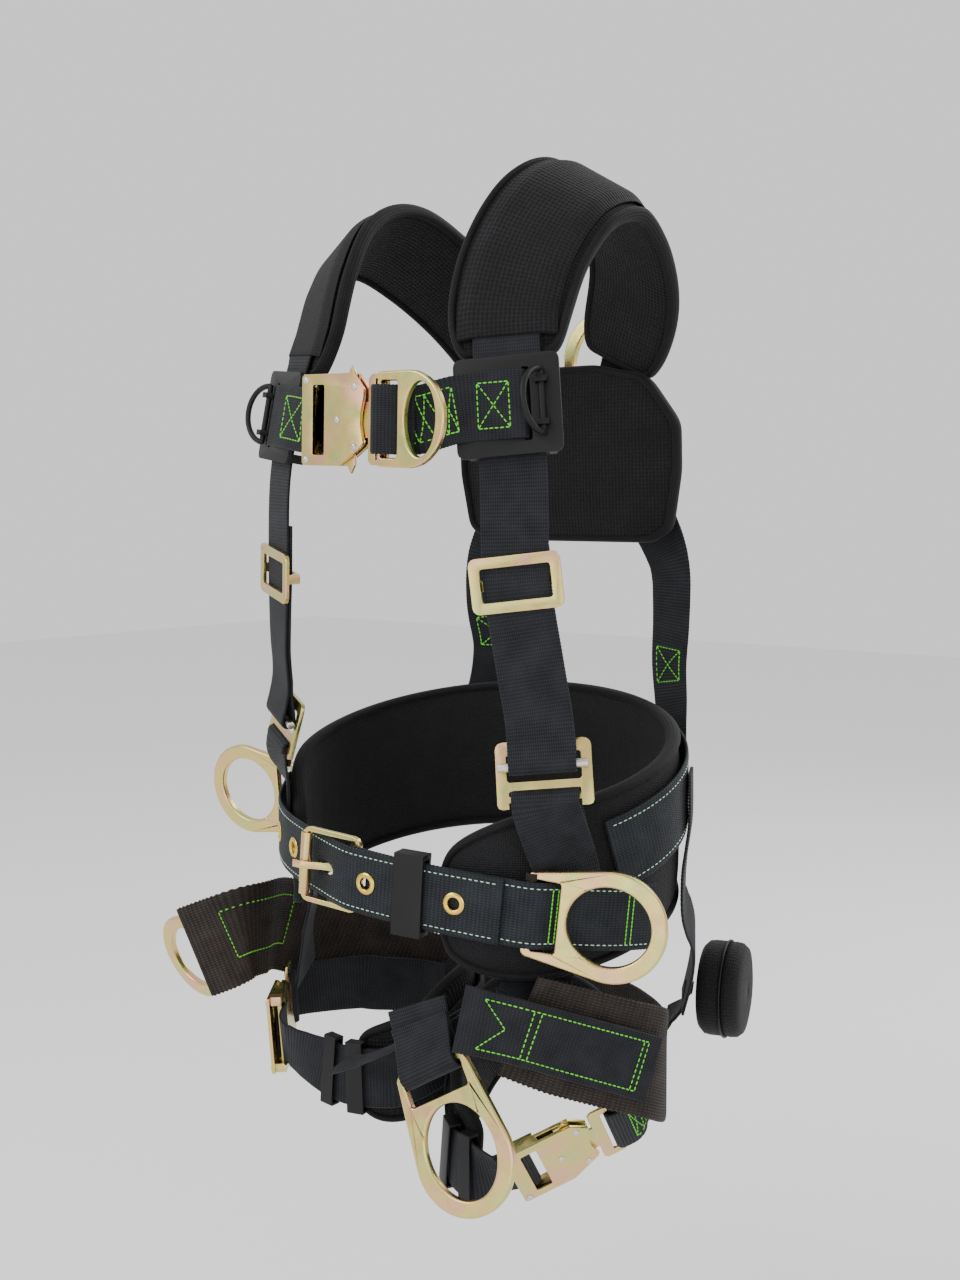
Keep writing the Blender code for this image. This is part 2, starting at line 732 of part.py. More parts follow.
def buildBelt():
    rear = [waistStation(a, -1.6, beltHeight(a)) for a in range(68, 270, 6)]
    webbing("belt_rear_web", rear, width=50.0, thickness=2.4)
    stations = []
    for angle, offset in ((82, 1.3), (72, 1.3), (64, 1.3), (57, 1.3), (53, 1.6), (49, 4.2),
                          (45.3, 7.6), (sideBarLeft, 7.9), (41.5, 7.5), (37, 4.2), (31, 1.2),
                          (24, 0.3), (16, 0.2), (7, 0.6), (1, 1.4), (heelAngle, 2.0)):
        stations.append(waistStation(angle, offset, frontHeight(angle)))
    path, heel = foldedEnd(smoothStations(stations, 14.0), 4.6, True, 24.0)
    mesh = sweepMesh(path, lambda share: flatSection(webWidth, webThickness))
    prongSlot = boxMesh((-4.2, -13.0, -12.0), (4.2, 13.0, 12.0))
    cutFrom("belt_buckle_web", mesh, [(prongSlot, heel)], nylonBlack)
    frame = tilted(heel, buckleTilt)
    buildBeltBuckle(frame)
    tongue = []
    for angle, offset in ((-98, 1.9), (-92, 1.9), (-88, 2.2), (-84.5, 5.0), (-80.3, 8.2),
                          (sideBarRight, 8.5), (-75.7, 8.2), (-71, 5.0), (-65, 3.2), (-56, 2.8),
                          (-47, 2.4), (-38, 2.0), (-30, 1.2), (-24, 1.0), (-19.7, 0.8),
                          (-14.5, 2.0), (-9, 4.4), (heelAngle, 6.2), (1, 5.0), (7, 3.5),
                          (16, 3.0), (24, 3.1), (30, 4.2), (34, 6.0), (36.5, 7.2)):
        tongue.append(waistStation(angle, offset, frontHeight(angle)))
    mesh = sweepMesh(smoothStations(tongue, 14.0), lambda share: flatSection(webWidth, webThickness))
    holes = []
    for angle in grommetAngles:
        point, normal = waistStation(angle, 3.0, frontHeight(angle))
        long = 11.0 if angle == prongAngle else grommetHole
        outline = [(x * long / grommetHole, y) for x, y in circleOutline(grommetHole, steps=10)]
        along = (math.cos(math.radians(angle)), 0.77 * math.sin(math.radians(angle)), -0.09)
        holes.append((plateMesh(outline, [], -12.0, 12.0), placement(point, along, normal)))
    cutFrom("belt_tongue_web", mesh, holes, nylonBlack)


def cutFrom(name, mesh, cutters, look):
    # exact Boolean difference of placed cutters from a mesh already in the part's frame
    body = addObject(f"{name}_blank", mesh, look)
    tools = []
    for index, (cutter, matrix) in enumerate(cutters):
        tool = addObject(f"{name}_cutter_{index}", cutter, look, matrix)
        tool.hide_render = True
        tool.display_type = "WIRE"
        cut = body.modifiers.new("cut", "BOOLEAN")
        cut.operation = "DIFFERENCE"
        cut.solver = "EXACT"
        cut.object = tool
        tools.append(tool)
    bpy.context.view_layer.update()
    view = bpy.context.evaluated_depsgraph_get()
    data = bpy.data.meshes.new_from_object(body.evaluated_get(view))
    for spent in tools + [body]:
        bpy.data.objects.remove(spent, do_unlink=True)
    data.materials.clear()
    data.materials.append(makeMaterial(name, look))
    item = bpy.data.objects.new(name, data)
    bpy.context.collection.objects.link(item)
    return item


def frontHeight(angle):
    # the front belt dips towards the wearer's left and rises to meet the rear belt
    return -23.0 - 0.26 * max(angle, -50.0) - 0.35 * min(0.0, angle + 50.0)


def buildBeltBuckle(frame):
    # thin frame; the prong turns on the web bar and rests on the roller
    outer = roundedRectangle(55.0, 49.5, 6.0, (0.0, 22.25))
    inner = roundedRectangle(47.6, 40.5, 0.8, (0.0, 22.75), 1)
    addObject("belt_buckle_frame", plateMesh(outer, [inner], -2.0, 2.0), zincGold, frame)
    roller = offsetFrame(frame, 0, rollerY, 0) @ Matrix.Rotation(math.radians(90), 4, "Y")
    tube = plateMesh(circleOutline(4.1, steps=14), [circleOutline(3.1, steps=14)], -22.5, 22.5)
    addObject("belt_buckle_roller", tube, zincGold, roller)
    middle = [(7, -1.8), (20, -2.6), (27, -2.6), (35, 0.6), (41, 4.4), (45, 6.0), (51, 6.2)]
    upper = [(y, z + 1.4) for y, z in middle]
    lower = [(y, z - 1.4) for y, z in middle]
    eye = [(5.2 * math.cos(math.radians(a)), 5.2 * math.sin(math.radians(a))) for a in range(20, 341, 20)]
    outline = eye + lower[1:] + upper[:0:-1]
    hole = circleOutline(3.5, steps=10)
    upright = frame @ Matrix(((0, 0, 1, 0), (1, 0, 0, 0), (0, 1, 0, 0), (0, 0, 0, 1)))
    addObject("belt_buckle_prong", plateMesh(outline, [hole], -2.6, 2.6), zincGold, upright)


def buildKeeper():
    angle = 13.5
    point = waistPoint(angle, 1.8, frontHeight(angle))
    normal = bodyNormal(point)
    frame = placement(point, (math.cos(math.radians(angle)), math.sin(math.radians(angle)), -0.06), normal)
    pieces = [boxMesh((-11, -28.5, 3.6), (11, 28.5, 6.2)), boxMesh((-11, -28.5, -6.6), (11, 28.5, -4.2)),
              boxMesh((-11, 25.0, -7.0), (11, 28.5, 6.0)), boxMesh((-11, -28.5, -7.0), (11, -25.0, 6.0))]
    unite("belt_keeper", pieces, plasticBlack, frame)


# ---------------------------------------------------------------- side and seat dees

def buildSideDees():
    for word, angle, opened in (("left", sideBarLeft, 14.0), ("right", sideBarRight, 78.0)):
        point = waistPoint(angle, 2.2, frontHeight(angle))
        normal = bodyNormal(point)
        side = 1 if word == "left" else -1
        beyond = waistPoint(angle + 2.0 * side, 2.2, frontHeight(angle + 2.0 * side))
        before = waistPoint(angle - 2.0 * side, 2.2, frontHeight(angle - 2.0 * side))
        travel = (beyond - before).normalized()
        frame = placement(point, travel.cross(normal), normal)
        addObject(f"side_dee_{word}", deeMesh(length=97.0), zincGold, tilted(frame, opened))


def buildTorsoLower(side, word, buckle):
    # web from the foot of the torso buckle down behind the front belt
    foot = offsetFrame(buckle, 0, torsoLowerBarY, 0)
    start = foot @ Vector((0, 0, torsoLowerRadius))
    outward = foot.to_3x3() @ Vector((0, 0, 1))
    travel = foot.to_3x3() @ Vector((0, 1, 0))
    angle = 54.5 if side > 0 else -54.0
    top = max(frontHeight(angle - 9.0), frontHeight(angle + 9.0)) + webWidth / 2
    line = [(start, outward), (start + travel * 6.0 - outward * 1.0, outward),
            (start + travel * 14.0 - outward * 3.0, outward)]
    if side > 0:
        line.append(waistStation(angle, 1.0, top + 26.0))
    line.append(waistStation(angle, -4.2, top + 10.0 if side > 0 else top + 2.0))
    line.append(waistStation(angle + side, -5.0 if side > 0 else -4.3, top - 18.0))
    path, _ = foldedStart(smoothStations(line, 14.0), torsoLowerRadius, True, 34.0)
    webbing(f"torso_lower_web_{word}", path)


# ---------------------------------------------------------------- hips and seat

def buildHips():
    wide = [
        station(112, -102, -110, (0.6, -0.8, -0.1)),
        station(134, -78, -122, (0.8, -0.6, 0.0)),
        station(157, -45, -136, (0.9, -0.4, 0.0)),
        station(167, -18, -147, (1.0, 0.1, 0.0)),
        station(158, 10, -160, (0.85, 0.5, 0.0)),
        station(138, 38, -166, (0.75, 0.65, 0.0)),
        station(108, 70, -172, (0.65, 0.75, 0.0)),
        station(66, 100, -176, (0.4, 0.9, 0.0)),
        station(0, 116, -178, (0.0, 1.0, 0.0)),
        station(-66, 102, -174, (-0.4, 0.9, 0.0)),
        station(-124, 68, -160, (-0.7, 0.7, 0.0)),
        station(-174, 20, -130, (-0.95, 0.3, 0.0)),
        station(-186, -26, -108, (-1.0, 0.0, 0.0)),
        station(-173, -56, -102, (-1.0, 0.05, 0.0)),
        station(-174, -80, -102, (-0.86, 0.47, 0.0)),
        station(-189, -95, -110, (-0.5, 0.85, 0.0)),
        station(-206, -104, -118, (-0.47, 0.88, 0.0)),
    ]
    webbing("hip_web", smoothStations(wide, 22.0), nylonBrown, wideWebWidth, wideWebThickness)
    loadLeft = [
        station(172, -28, -148, (0.95, -0.2, 0.0)),
        station(162, -50, -138, (0.9, -0.45, 0.0)),
        station(140, -83, -123, (0.75, -0.65, 0.0)),
        station(120, -107, -112, (0.55, -0.83, 0.0)),
        station(98, -122, -106, (0.3, -0.95, 0.1)),
        station(84, -130, -103, (0.1, -0.95, 0.3)),
    ]
    webbing("seat_web_left", smoothStations(loadLeft, 16.0))
    loadRight = [
        station(-192, -51, -107, (0.5, -0.86, 0.0)),
        station(-202, -56.5, -113.5, (0.5, -0.86, 0.0)),
        station(-212, -62, -120, (0.5, -0.86, 0.0)),
    ]
    path, bar = foldedEnd(smoothStations(loadRight, 4.0), deeLoopRadius, False, 27.0, settle=4.0)
    webbing("seat_web_right", path)
    addObject("seat_dee_right", deeMesh(), zincGold, tilted(bar, -40.0))
    loopLeft = [
        station(40, -122, -104, (0.25, -0.95, 0.2)),
        station(45, -124, -114, (0.25, -0.96, 0.1)),
        station(52, -126, -126, (0.25, -0.97, 0.0)),
        station(61, -126, -141, (0.25, -0.97, 0.0)),
    ]
    path, bar = foldedEnd(smoothStations(loopLeft, 8.0), deeLoopRadius, False, 36.0)
    webbing("seat_loop_left", path)
    addObject("seat_dee_left", deeMesh(), zincGold, tilted(bar, 6.0))


def buildRisers():
    # webs from the waist down to the hip webs, and the narrow strap under the body
    left = [
        waistStation(52, -22.5, -30.0),
        waistStation(49, -22.5, -62.0),
        station(108, -72, -88, (0.65, -0.75, 0.1)),
        station(104, -86, -106, (0.6, -0.8, 0.1)),
        station(98, -92, -128, (0.6, -0.8, 0.0)),
    ]
    webbing("riser_web_left", smoothStations(left, 14.0))
    right = [
        waistStation(-52, -22.5, -20.0),
        waistStation(-55, -22.5, -56.0),
        station(-124, -58, -88, (-0.85, -0.5, 0.0)),
        station(-134, -52, -112, (-0.85, -0.5, 0.0)),
        station(-141, -46, -136, (-0.9, -0.4, 0.0)),
    ]
    webbing("riser_web_right", smoothStations(right, 14.0))
    crossing = [
        station(80, -93, -96, (-0.4, 0.0, 0.9)),
        station(62, -96, -110, (-0.45, -0.1, 0.88)),
        station(40, -101, -126, (-0.5, -0.1, 0.85)),
        station(6, -106, -147, (-0.5, -0.1, 0.85)),
        station(-26, -108, -164, (-0.45, -0.1, 0.88)),
        station(-46, -108, -172, (-0.3, -0.2, 0.92)),
    ]
    webbing("crossing_web", smoothStations(crossing, 16.0), width=26.0, thickness=3.0)


# ---------------------------------------------------------------- legs

legCentre = (77.0, -2.0)
legHalfWidth = 72.0
legHalfDepth = 83.0
legSquareness = 2.5            # exponent of the leg loop's rounded outline
leftLegHeights = ((-180, -170), (-150, -165), (-120, -154), (-90, -158), (-75, -182), (-60, -206),
                  (-45, -222), (-30, -228), (-10, -231), (10, -229), (30, -224), (60, -200),
                  (75, -186), (95, -174), (130, -168), (180, -170))
rightLegHeights = ((-180, -170), (-150, -165), (-120, -154), (-90, -158), (-75, -172), (-60, -181),
                   (-40, -188), (-10, -189), (10, -185), (30, -178), (60, -170), (75, -166),
                   (95, -158), (130, -164), (180, -170))


def legHeight(angle, side):
    # height of the leg loop's centre line; angle in degrees from the front, outward
    knots = leftLegHeights if side > 0 else rightLegHeights
    for (a, za), (b, zb) in zip(knots, knots[1:]):
        if a <= angle <= b:
            return za + (zb - za) * (angle - a) / (b - a)
    raise ValueError(angle)


def legStation(side, angle, offset):
    # a rounded rectangle in front, a smaller ellipse behind
    turn = math.radians(angle)
    behind = min(1.0, max(0.0, (abs(angle) - 75.0) / 45.0))
    power = 2.0 / (legSquareness + (2.0 - legSquareness) * behind)
    sine = math.copysign(abs(math.sin(turn)) ** power, math.sin(turn))
    cosine = math.copysign(abs(math.cos(turn)) ** power, math.cos(turn))
    halfWidth = legHalfWidth - 12.0 * behind
    halfDepth = legHalfDepth - 16.0 * behind
    x = legCentre[0] + (halfWidth + offset) * sine
    y = legCentre[1] - (halfDepth + offset) * cosine
    normal = Vector((math.sin(turn) / halfWidth, -math.cos(turn) / halfDepth, 0)).normalized()
    place = Vector((x * side, y, legHeight(angle, side)))
    return (place, Vector((normal.x * side, normal.y, 0)))


def legBuckleFrame(side):
    if side > 0:
        return placement((108, -57, -215), (0.647, 0.634, 0.412), (0.744, -0.43, -0.507))
    return placement((-143, -67, -170), (-0.57, 0.82, 0.1), (-0.82, -0.57, -0.05))


def buildLeg(side, word):
    # one web from the tab, round the outside, back and inside of the thigh to the buckle
    buckle = legBuckleFrame(side)
    quickConnect(f"leg_{word}", buckle, levers=1)
    tabNear = worldStation(buckle, tabBarX, 0, tabBarZ + tabWebRadius, (0, 0, 1))
    beyond = tabBarX + (12 if side > 0 else 7)
    tabNext = worldStation(buckle, beyond, 0, tabBarZ + tabWebRadius - 1, (0.1, 0, 1))
    outside = (90, 105) if side > 0 else (108,)
    round_ = [legStation(side, a, 1.5) for a in outside + (120, 135, 150, 165, -180)]
    round_ += [legStation(side, a, 1.5) for a in range(-170, -5 if side > 0 else 1, 10)]
    z = bodyBarZ - bodyWebRadius
    before = worldStation(buckle, bodyBarX - (18 if side > 0 else 16), 0, z, (0, 0, 1))
    near = worldStation(buckle, bodyBarX, 0, z, (0, 0, 1))
    line = smoothStations([tabNear, tabNext] + round_ + [before, near], 12.0)
    path, _ = foldedEnd(line, bodyWebRadius, False, 24.0)
    path, _ = foldedStart(path, tabWebRadius, True, 24.0)
    webbing(f"leg_web_{word}", path)
    pad = [legStation(side, a, -9.0) for a in range(-176, -15, 10)]

    def section(share):
        ends = min(share, 1 - share)
        return paddedSection(74.0 - 24.0 * math.exp(-ends * 20.0), 8.0)

    addObject(f"leg_pad_{word}", sweepMesh(smoothStations(pad, 20.0), section), meshBlack)
    buildLegKeeper(side, word)


def buildLegKeeper(side, word):
    # plastic band round the leg web
    angle = -33.0 if side > 0 else -16.0
    point, normal = legStation(side, angle, 1.5)
    following = legStation(side, angle + 5, 1.5)[0]
    frame = placement(point, following - point, normal)
    pieces = [boxMesh((-7, -27.0, 3.4), (7, 27.0, 4.8)), boxMesh((-7, -27.0, -4.6), (7, 27.0, -3.2)),
              boxMesh((-7, 24.8, -4.4), (7, 27.0, 4.6)), boxMesh((-7, -27.0, -4.4), (7, -24.8, 4.6))]
    unite(f"leg_keeper_{word}", pieces, plasticBlack, frame)


# ---------------------------------------------------------------- relief pouch

def buildPouch():
    axis = (0.95, 0.3, 0.05)
    frame = placement((132, 116, -134), (0, 0, 1), axis)
    shell = plateMesh(circleOutline(36.0, steps=28), [], -3.0, 17.0)
    addObject("relief_pouch", shell, nylonBlack, frame)
    lid = plateMesh(circleOutline(36.0, (36.0, 0.0), 28), [], 0.2, 13.8)
    addObject("relief_pouch_lid", lid, nylonBlack, offsetFrame(frame, -36.0, 0, 17.2))
    strapLine = [
        station(102, 106, -164, (0.6, 0.5, -0.3)),
        station(116, 98, -152, (0.8, 0.2, -0.2)),
        station(127, 94, -138, (0.93, 0.3, 0.0)),
        station(127, 98, -126, (0.95, 0.3, 0.05)),
    ]
    webbing("pouch_web", smoothStations(strapLine, 12.0), width=25.0)


def main():
    clearScene()
    leftLine, leftBuckle = buildShoulder(1, "left")
    rightLine, rightBuckle = buildShoulder(-1, "right")
    buildTorsoLower(1, "left", leftBuckle)
    buildTorsoLower(-1, "right", rightBuckle)
    buildChest(guideFrame(leftLine, 1), guideFrame(rightLine, -1))
    buildBack()
    buildWaistPad()
    buildBelt()
    buildKeeper()
    buildSideDees()
    buildHips()
    buildRisers()
    buildLeg(1, "left")
    buildLeg(-1, "right")
    buildPouch()


main()
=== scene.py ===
# Looks for a full-body climbing harness. Lengths are in millimetres until a mesh is made.
import json
import math

import bmesh
import bpy
import numpy as np
from mathutils import Matrix, Vector


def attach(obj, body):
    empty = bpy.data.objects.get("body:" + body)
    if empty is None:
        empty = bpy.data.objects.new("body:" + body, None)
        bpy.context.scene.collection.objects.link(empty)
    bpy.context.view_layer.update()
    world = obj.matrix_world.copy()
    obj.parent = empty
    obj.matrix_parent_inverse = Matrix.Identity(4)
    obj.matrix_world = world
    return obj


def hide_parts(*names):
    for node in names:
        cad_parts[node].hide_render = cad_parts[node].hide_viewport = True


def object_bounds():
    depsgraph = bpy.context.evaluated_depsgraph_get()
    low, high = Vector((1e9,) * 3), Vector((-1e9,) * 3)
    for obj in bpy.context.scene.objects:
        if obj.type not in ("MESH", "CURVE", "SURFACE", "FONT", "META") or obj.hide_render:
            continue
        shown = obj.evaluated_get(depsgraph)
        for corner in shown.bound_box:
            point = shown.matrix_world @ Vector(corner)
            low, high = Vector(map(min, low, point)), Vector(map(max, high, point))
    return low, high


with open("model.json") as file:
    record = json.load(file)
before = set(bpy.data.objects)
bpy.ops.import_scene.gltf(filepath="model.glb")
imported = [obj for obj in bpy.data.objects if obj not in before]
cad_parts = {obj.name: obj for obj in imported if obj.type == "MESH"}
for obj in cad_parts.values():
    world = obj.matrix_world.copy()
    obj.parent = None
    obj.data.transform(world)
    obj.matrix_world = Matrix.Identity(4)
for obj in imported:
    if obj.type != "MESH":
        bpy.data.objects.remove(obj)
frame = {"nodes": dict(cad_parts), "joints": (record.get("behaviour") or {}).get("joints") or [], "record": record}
cadLow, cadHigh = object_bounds()
mainBody = "harness"
upAxis = np.array((0.0, 0.0, 1.0))

waist = {"halfWidth": 165.0, "halfDepth": 128.0, "beltRise": 0.33, "beltHeight": 17.0}
web = {"width": 45.0, "thickness": 2.2, "pitch": 2.4, "depth": 0.14, "scallop": 0.15}
belt = {"heel": -4.0, "prong": -13.5, "grommets": (-46.0, -31.0, -13.5, 1.5, 25.0),
        "barLeft": 43.5, "barRight": -78.0, "hole": 5.0, "slot": 11.0}
deeLoop = 7.2                    # centre line of a web turned round a dee's bar


def unit(rows):
    rows = np.asarray(rows, float)   # every row divided by its own length
    return rows / np.maximum(np.linalg.norm(rows, axis=-1, keepdims=True), 1e-9)


def linear(hexText):
    # sRGB hex to linear light, channel by channel
    channels = np.array([int(hexText[i:i + 2], 16) for i in (0, 2, 4)]) / 255
    lit = np.where(channels <= 0.04045, channels / 12.92, ((channels + 0.055) / 1.055) ** 2.4)
    return (*[float(value) for value in lit], 1.0)


def addNode(tree, kind, settings=None, links=None):
    # one node: settings go to its inputs or its properties, links feed its inputs
    node = tree.nodes.new(kind)
    for key, value in (settings or {}).items():
        if isinstance(key, int) or key in node.inputs:
            node.inputs[key].default_value = value
        else:
            setattr(node, key, value)
    for key, source in (links or {}).items():
        tree.links.new(source, node.inputs[key])
    return node


def newMaterial(name):
    material = bpy.data.materials.new(name)
    material.use_nodes = True
    tree = material.node_tree
    return material, tree, tree.nodes["Principled BSDF"]


def noise(tree, place, scale, detail, distortion=0.0):
    return addNode(tree, "ShaderNodeTexNoise", {"Scale": scale, "Detail": detail, "Distortion": distortion},
                   {"Vector": place}).outputs["Fac"]


def waves(tree, place, direction, pitch, distortion):
    # parallel bands; a band is pi/10 units of the wave texture, so this scale gives the pitch in millimetres
    look = {"bands_direction": direction, "Scale": 0.314159 / (pitch * 0.001),
            "Distortion": distortion, "Detail": 1.0}
    return addNode(tree, "ShaderNodeTexWave", look, {"Vector": place}).outputs["Fac"]


def remap(tree, source, *limits):
    # the input's low and high, then the output's
    return addNode(tree, "ShaderNodeMapRange", dict(enumerate(limits, 1)), {0: source}).outputs[0]


def product(tree, a, b):
    return addNode(tree, "ShaderNodeMath", {"operation": "MULTIPLY"}, {0: a, 1: b}).outputs[0]


def between(tree, look, share):
    # from the look's dark colour to its light one
    return addNode(tree, "ShaderNodeMix", {"data_type": "RGBA", 6: linear(look["dark"]),
                   7: linear(look["light"])}, {0: share}).outputs[2]


def bumped(tree, height, strength, distance):
    return addNode(tree, "ShaderNodeBump", {"Strength": strength, "Distance": distance},
                   {"Height": height}).outputs[0]


def connect(tree, shader, links, values):
    for socket, source in links.items():
        tree.links.new(source, shader.inputs[socket])
    for socket, value in values.items():
        shader.inputs[socket].default_value = value


def wovenNylon(name, look):
    # solution-dyed nylon webbing: weft ribs across, fine warp lines along, a dull sheen on the crests
    material, tree, shader = newMaterial(name)
    place = addNode(tree, "ShaderNodeUVMap").outputs[0]
    ribs = waves(tree, place, "X", look["pitch"], 0.6)
    warp = waves(tree, place, "Y", look["warp"], 0.3)
    cloud = noise(tree, place, 60.0, 4.0)
    both = product(tree, ribs, warp)
    # the colour follows the rib height: lighter on the crests and darker in the valleys between ribs is painted
    # highlight and painted shade; the noise adds random tone
    ribShadeAndTone = addNode(tree, "ShaderNodeMath", {"operation": "MULTIPLY_ADD", 1: 0.7},
                    {0: both, 2: cloud}).outputs[0]
    colour = between(tree, look, remap(tree, ribShadeAndTone, 0.3, 1.2, 0.0, 1.0))
    rough = remap(tree, both, 0.0, 1.0, look["rough"] + 0.12, look["rough"] - 0.08)
    bump = bumped(tree, both, look["bump"], 0.0005)
    # filaments scatter most of the gloss
    connect(tree, shader, {"Base Color": colour, "Roughness": rough, "Normal": bump},
            {"Specular IOR Level": 0.22, "Sheen Weight": 0.04, "Sheen Roughness": 0.4})
    return material


def paddedCloth(name, look):
    # knitted spacer mesh or ballistic cloth over foam: small open cells in rows, matt
    material, tree, shader = newMaterial(name)
    place = addNode(tree, "ShaderNodeUVMap").outputs[0]
    cells = addNode(tree, "ShaderNodeTexVoronoi", {"feature": "F1", "Scale": 1000.0 / look["cell"],
                    "Randomness": look["random"]}, {"Vector": place}).outputs["Distance"]
    cloud = noise(tree, place, 45.0, 5.0)
    opened = remap(tree, cells, 0.15, 0.6)
    # the cell openings are painted darker than the threads between them: painted shade in the recesses, multiplied
    # by random tone from the noise
    colour = between(tree, look, product(tree, opened, cloud))
    connect(tree, shader, {"Base Color": colour, "Normal": bumped(tree, opened, look["bump"], 0.0008)},
            {"Roughness": look["rough"], "Specular IOR Level": 0.2, "Sheen Weight": 0.03})
    return material


def platedSteel(name, look):
    # forged or stamped steel with a chromate finish: gold drifting to green and pink, soft wear
    material, tree, shader = newMaterial(name)
    place = addNode(tree, "ShaderNodeTexCoord").outputs["Object"]
    ramp = addNode(tree, "ShaderNodeValToRGB", {}, {0: noise(tree, place, look["drift"], 2.0, 0.8)})
    ramp.color_ramp.elements[0].position = 0.34
    ramp.color_ramp.elements[1].position = 0.66
    ramp.color_ramp.elements[0].color = linear(look["cool"])
    ramp.color_ramp.elements[1].color = linear(look["warm"])
    middle = ramp.color_ramp.elements.new(0.5)
    middle.color = linear(look["main"])
    grain = noise(tree, place, 700.0, 3.0)
    rough = remap(tree, noise(tree, place, 90.0, 4.0), 0.3, 0.7, look["rough"] - 0.07, look["rough"] + 0.1)
    connect(tree, shader, {"Base Color": ramp.outputs[0], "Roughness": rough,
                           "Normal": bumped(tree, grain, 0.12, 0.0002)}, {"Metallic": 1.0})
    return material


def mouldedPlastic(name, look):
    # injection-moulded nylon: fine spark-eroded grain, satin
    material, tree, shader = newMaterial(name)
    place = addNode(tree, "ShaderNodeTexCoord").outputs["Object"]
    grain = noise(tree, place, 1400.0, 2.0)
    colour = between(tree, look, noise(tree, place, 40.0, 3.0))
    connect(tree, shader, {"Base Color": colour, "Normal": bumped(tree, grain, 0.2, 0.0002)},
            {"Roughness": look["rough"], "Specular IOR Level": look.get("gloss", 0.5)})
    return material


materials = {
    "webBlack": wovenNylon("nylon_webbing_black", {"dark": "07080B", "light": "24262C", "pitch": 2.4,
                           "warp": 1.5, "rough": 0.62, "bump": 0.7}),
    "webBelt": wovenNylon("nylon_belt_webbing", {"dark": "06080C", "light": "262B31", "pitch": 3.0,
                          "warp": 1.8, "rough": 0.55, "bump": 0.9}),
    "webBrown": wovenNylon("nylon_wide_webbing_brown", {"dark": "110D0B", "light": "3A322D", "pitch": 3.6,
                           "warp": 2.0, "rough": 0.65, "bump": 1.0}),
    "binding": wovenNylon("nylon_binding_tape", {"dark": "060607", "light": "161618", "pitch": 1.6,
                          "warp": 2.2, "rough": 0.7, "bump": 0.4}),
    "mesh": paddedCloth("spacer_mesh_black", {"cell": 3.0, "random": 0.15, "dark": "060607",
                        "light": "242427", "bump": 1.0, "rough": 0.78}),
    "ballistic": paddedCloth("ballistic_nylon_black", {"cell": 1.6, "random": 0.3, "dark": "0D0D0F",
                             "light": "1D1E20", "bump": 0.6, "rough": 0.72}),
    "zinc": platedSteel("yellow_zinc_steel", {"drift": 34.0, "cool": "C3C27C", "main": "D8C077",
                        "warm": "DDB08C", "rough": 0.27}),
    "bright": platedSteel("bright_zinc_steel", {"drift": 20.0, "cool": "B9BCBD", "main": "C9C9C6",
                          "warm": "CFC8BB", "rough": 0.3}),
    "brass": platedSteel("brass_grommet", {"drift": 60.0, "cool": "D9C25C", "main": "E0BE55",
                         "warm": "E2B45A", "rough": 0.22}),
    "plastic": mouldedPlastic("moulded_nylon_black", {"dark": "050506", "light": "0E0E10", "rough": 0.5,
                              "gloss": 0.28}),
    "lime": mouldedPlastic("polyester_thread_lime", {"dark": "3FB41E", "light": "7FE03A", "rough": 0.5}),
    "pale": mouldedPlastic("polyester_thread_pale", {"dark": "8FC2A0", "light": "C9E2CE", "rough": 0.5}),
    "white": mouldedPlastic("polyester_thread_white", {"dark": "C9CACC", "light": "F0F0F0", "rough": 0.5}),
    "sleeve": mouldedPlastic("rubber_sleeve_grey", {"dark": "8E8B84", "light": "B8B4AC", "rough": 0.6}),
}
print("materials", len(materials))


def addPiece(name, points, faces, finish, body=mainBody, uv=None, stands=()):
    # points in millimetres and quads; turned outward by the sign of the enclosed volume
    faces = np.asarray(faces)
    a, b, c, d = (points[faces[:, k]] for k in range(4))
    volume = np.sum(a * np.cross(b, c)) + np.sum(a * np.cross(c, d))
    if volume < 0:
        faces = faces[:, ::-1]
    data = bpy.data.meshes.new(name)
    data.vertices.add(len(points))
    data.vertices.foreach_set("co", (points * 0.001).astype(np.float32).ravel())
    data.loops.add(faces.size)
    data.loops.foreach_set("vertex_index", faces.ravel().astype(np.int32))
    data.polygons.add(len(faces))
    data.polygons.foreach_set("loop_start", np.arange(0, faces.size, 4, dtype=np.int32))
    data.update(calc_edges=True)
    if uv is not None:
        layer = data.uv_layers.new(name="cloth")
        layer.data.foreach_set("uv", (uv[faces.ravel()] * 0.001).astype(np.float32).ravel())
    data.polygons.foreach_set("use_smooth", np.full(len(faces), True))
    return finishPiece(name, data, finish, body, stands)


def finishPiece(name, data, finish, body, stands):
    data.materials.clear()
    data.materials.append(materials[finish])
    piece = bpy.data.objects.new(name, data)
    bpy.context.scene.collection.objects.link(piece)
    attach(piece, body)
    if stands:
        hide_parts(*stands)
    return piece


def ringFaces(rows, columns, closed=False):
    # quads between neighbouring rings; open ends are closed by pairing the two halves of a ring
    i = np.arange(rows if closed else rows - 1)[:, None]
    j = np.arange(columns)[None, :]
    after = (i + 1) % rows
    side = (j + 1) % columns
    quads = np.stack([i * columns + j, i * columns + side, after * columns + side, after * columns + j], -1)
    quads = quads.reshape(-1, 4)
    if closed:
        return quads
    k = np.arange(columns // 2 - 1)
    cap = np.stack([k, k + 1, columns - 2 - k, columns - 1 - k], -1)
    return np.vstack([quads, cap[:, ::-1], cap + (rows - 1) * columns])


def placement(origin, along, outward):
    xAxis = Vector(along).normalized()
    zAxis = Vector(outward)
    zAxis = (zAxis - xAxis * zAxis.dot(xAxis)).normalized()
    matrix = Matrix((xAxis, zAxis.cross(xAxis), zAxis)).transposed().to_4x4()
    matrix.translation = Vector(origin)
    return matrix


def sweep(point, across, outward, wide, tall):
    # a section carried along a line: every station plus its distances across and outward
    return point[:, None] + across[:, None] * wide[..., None] + outward[:, None] * tall[..., None]


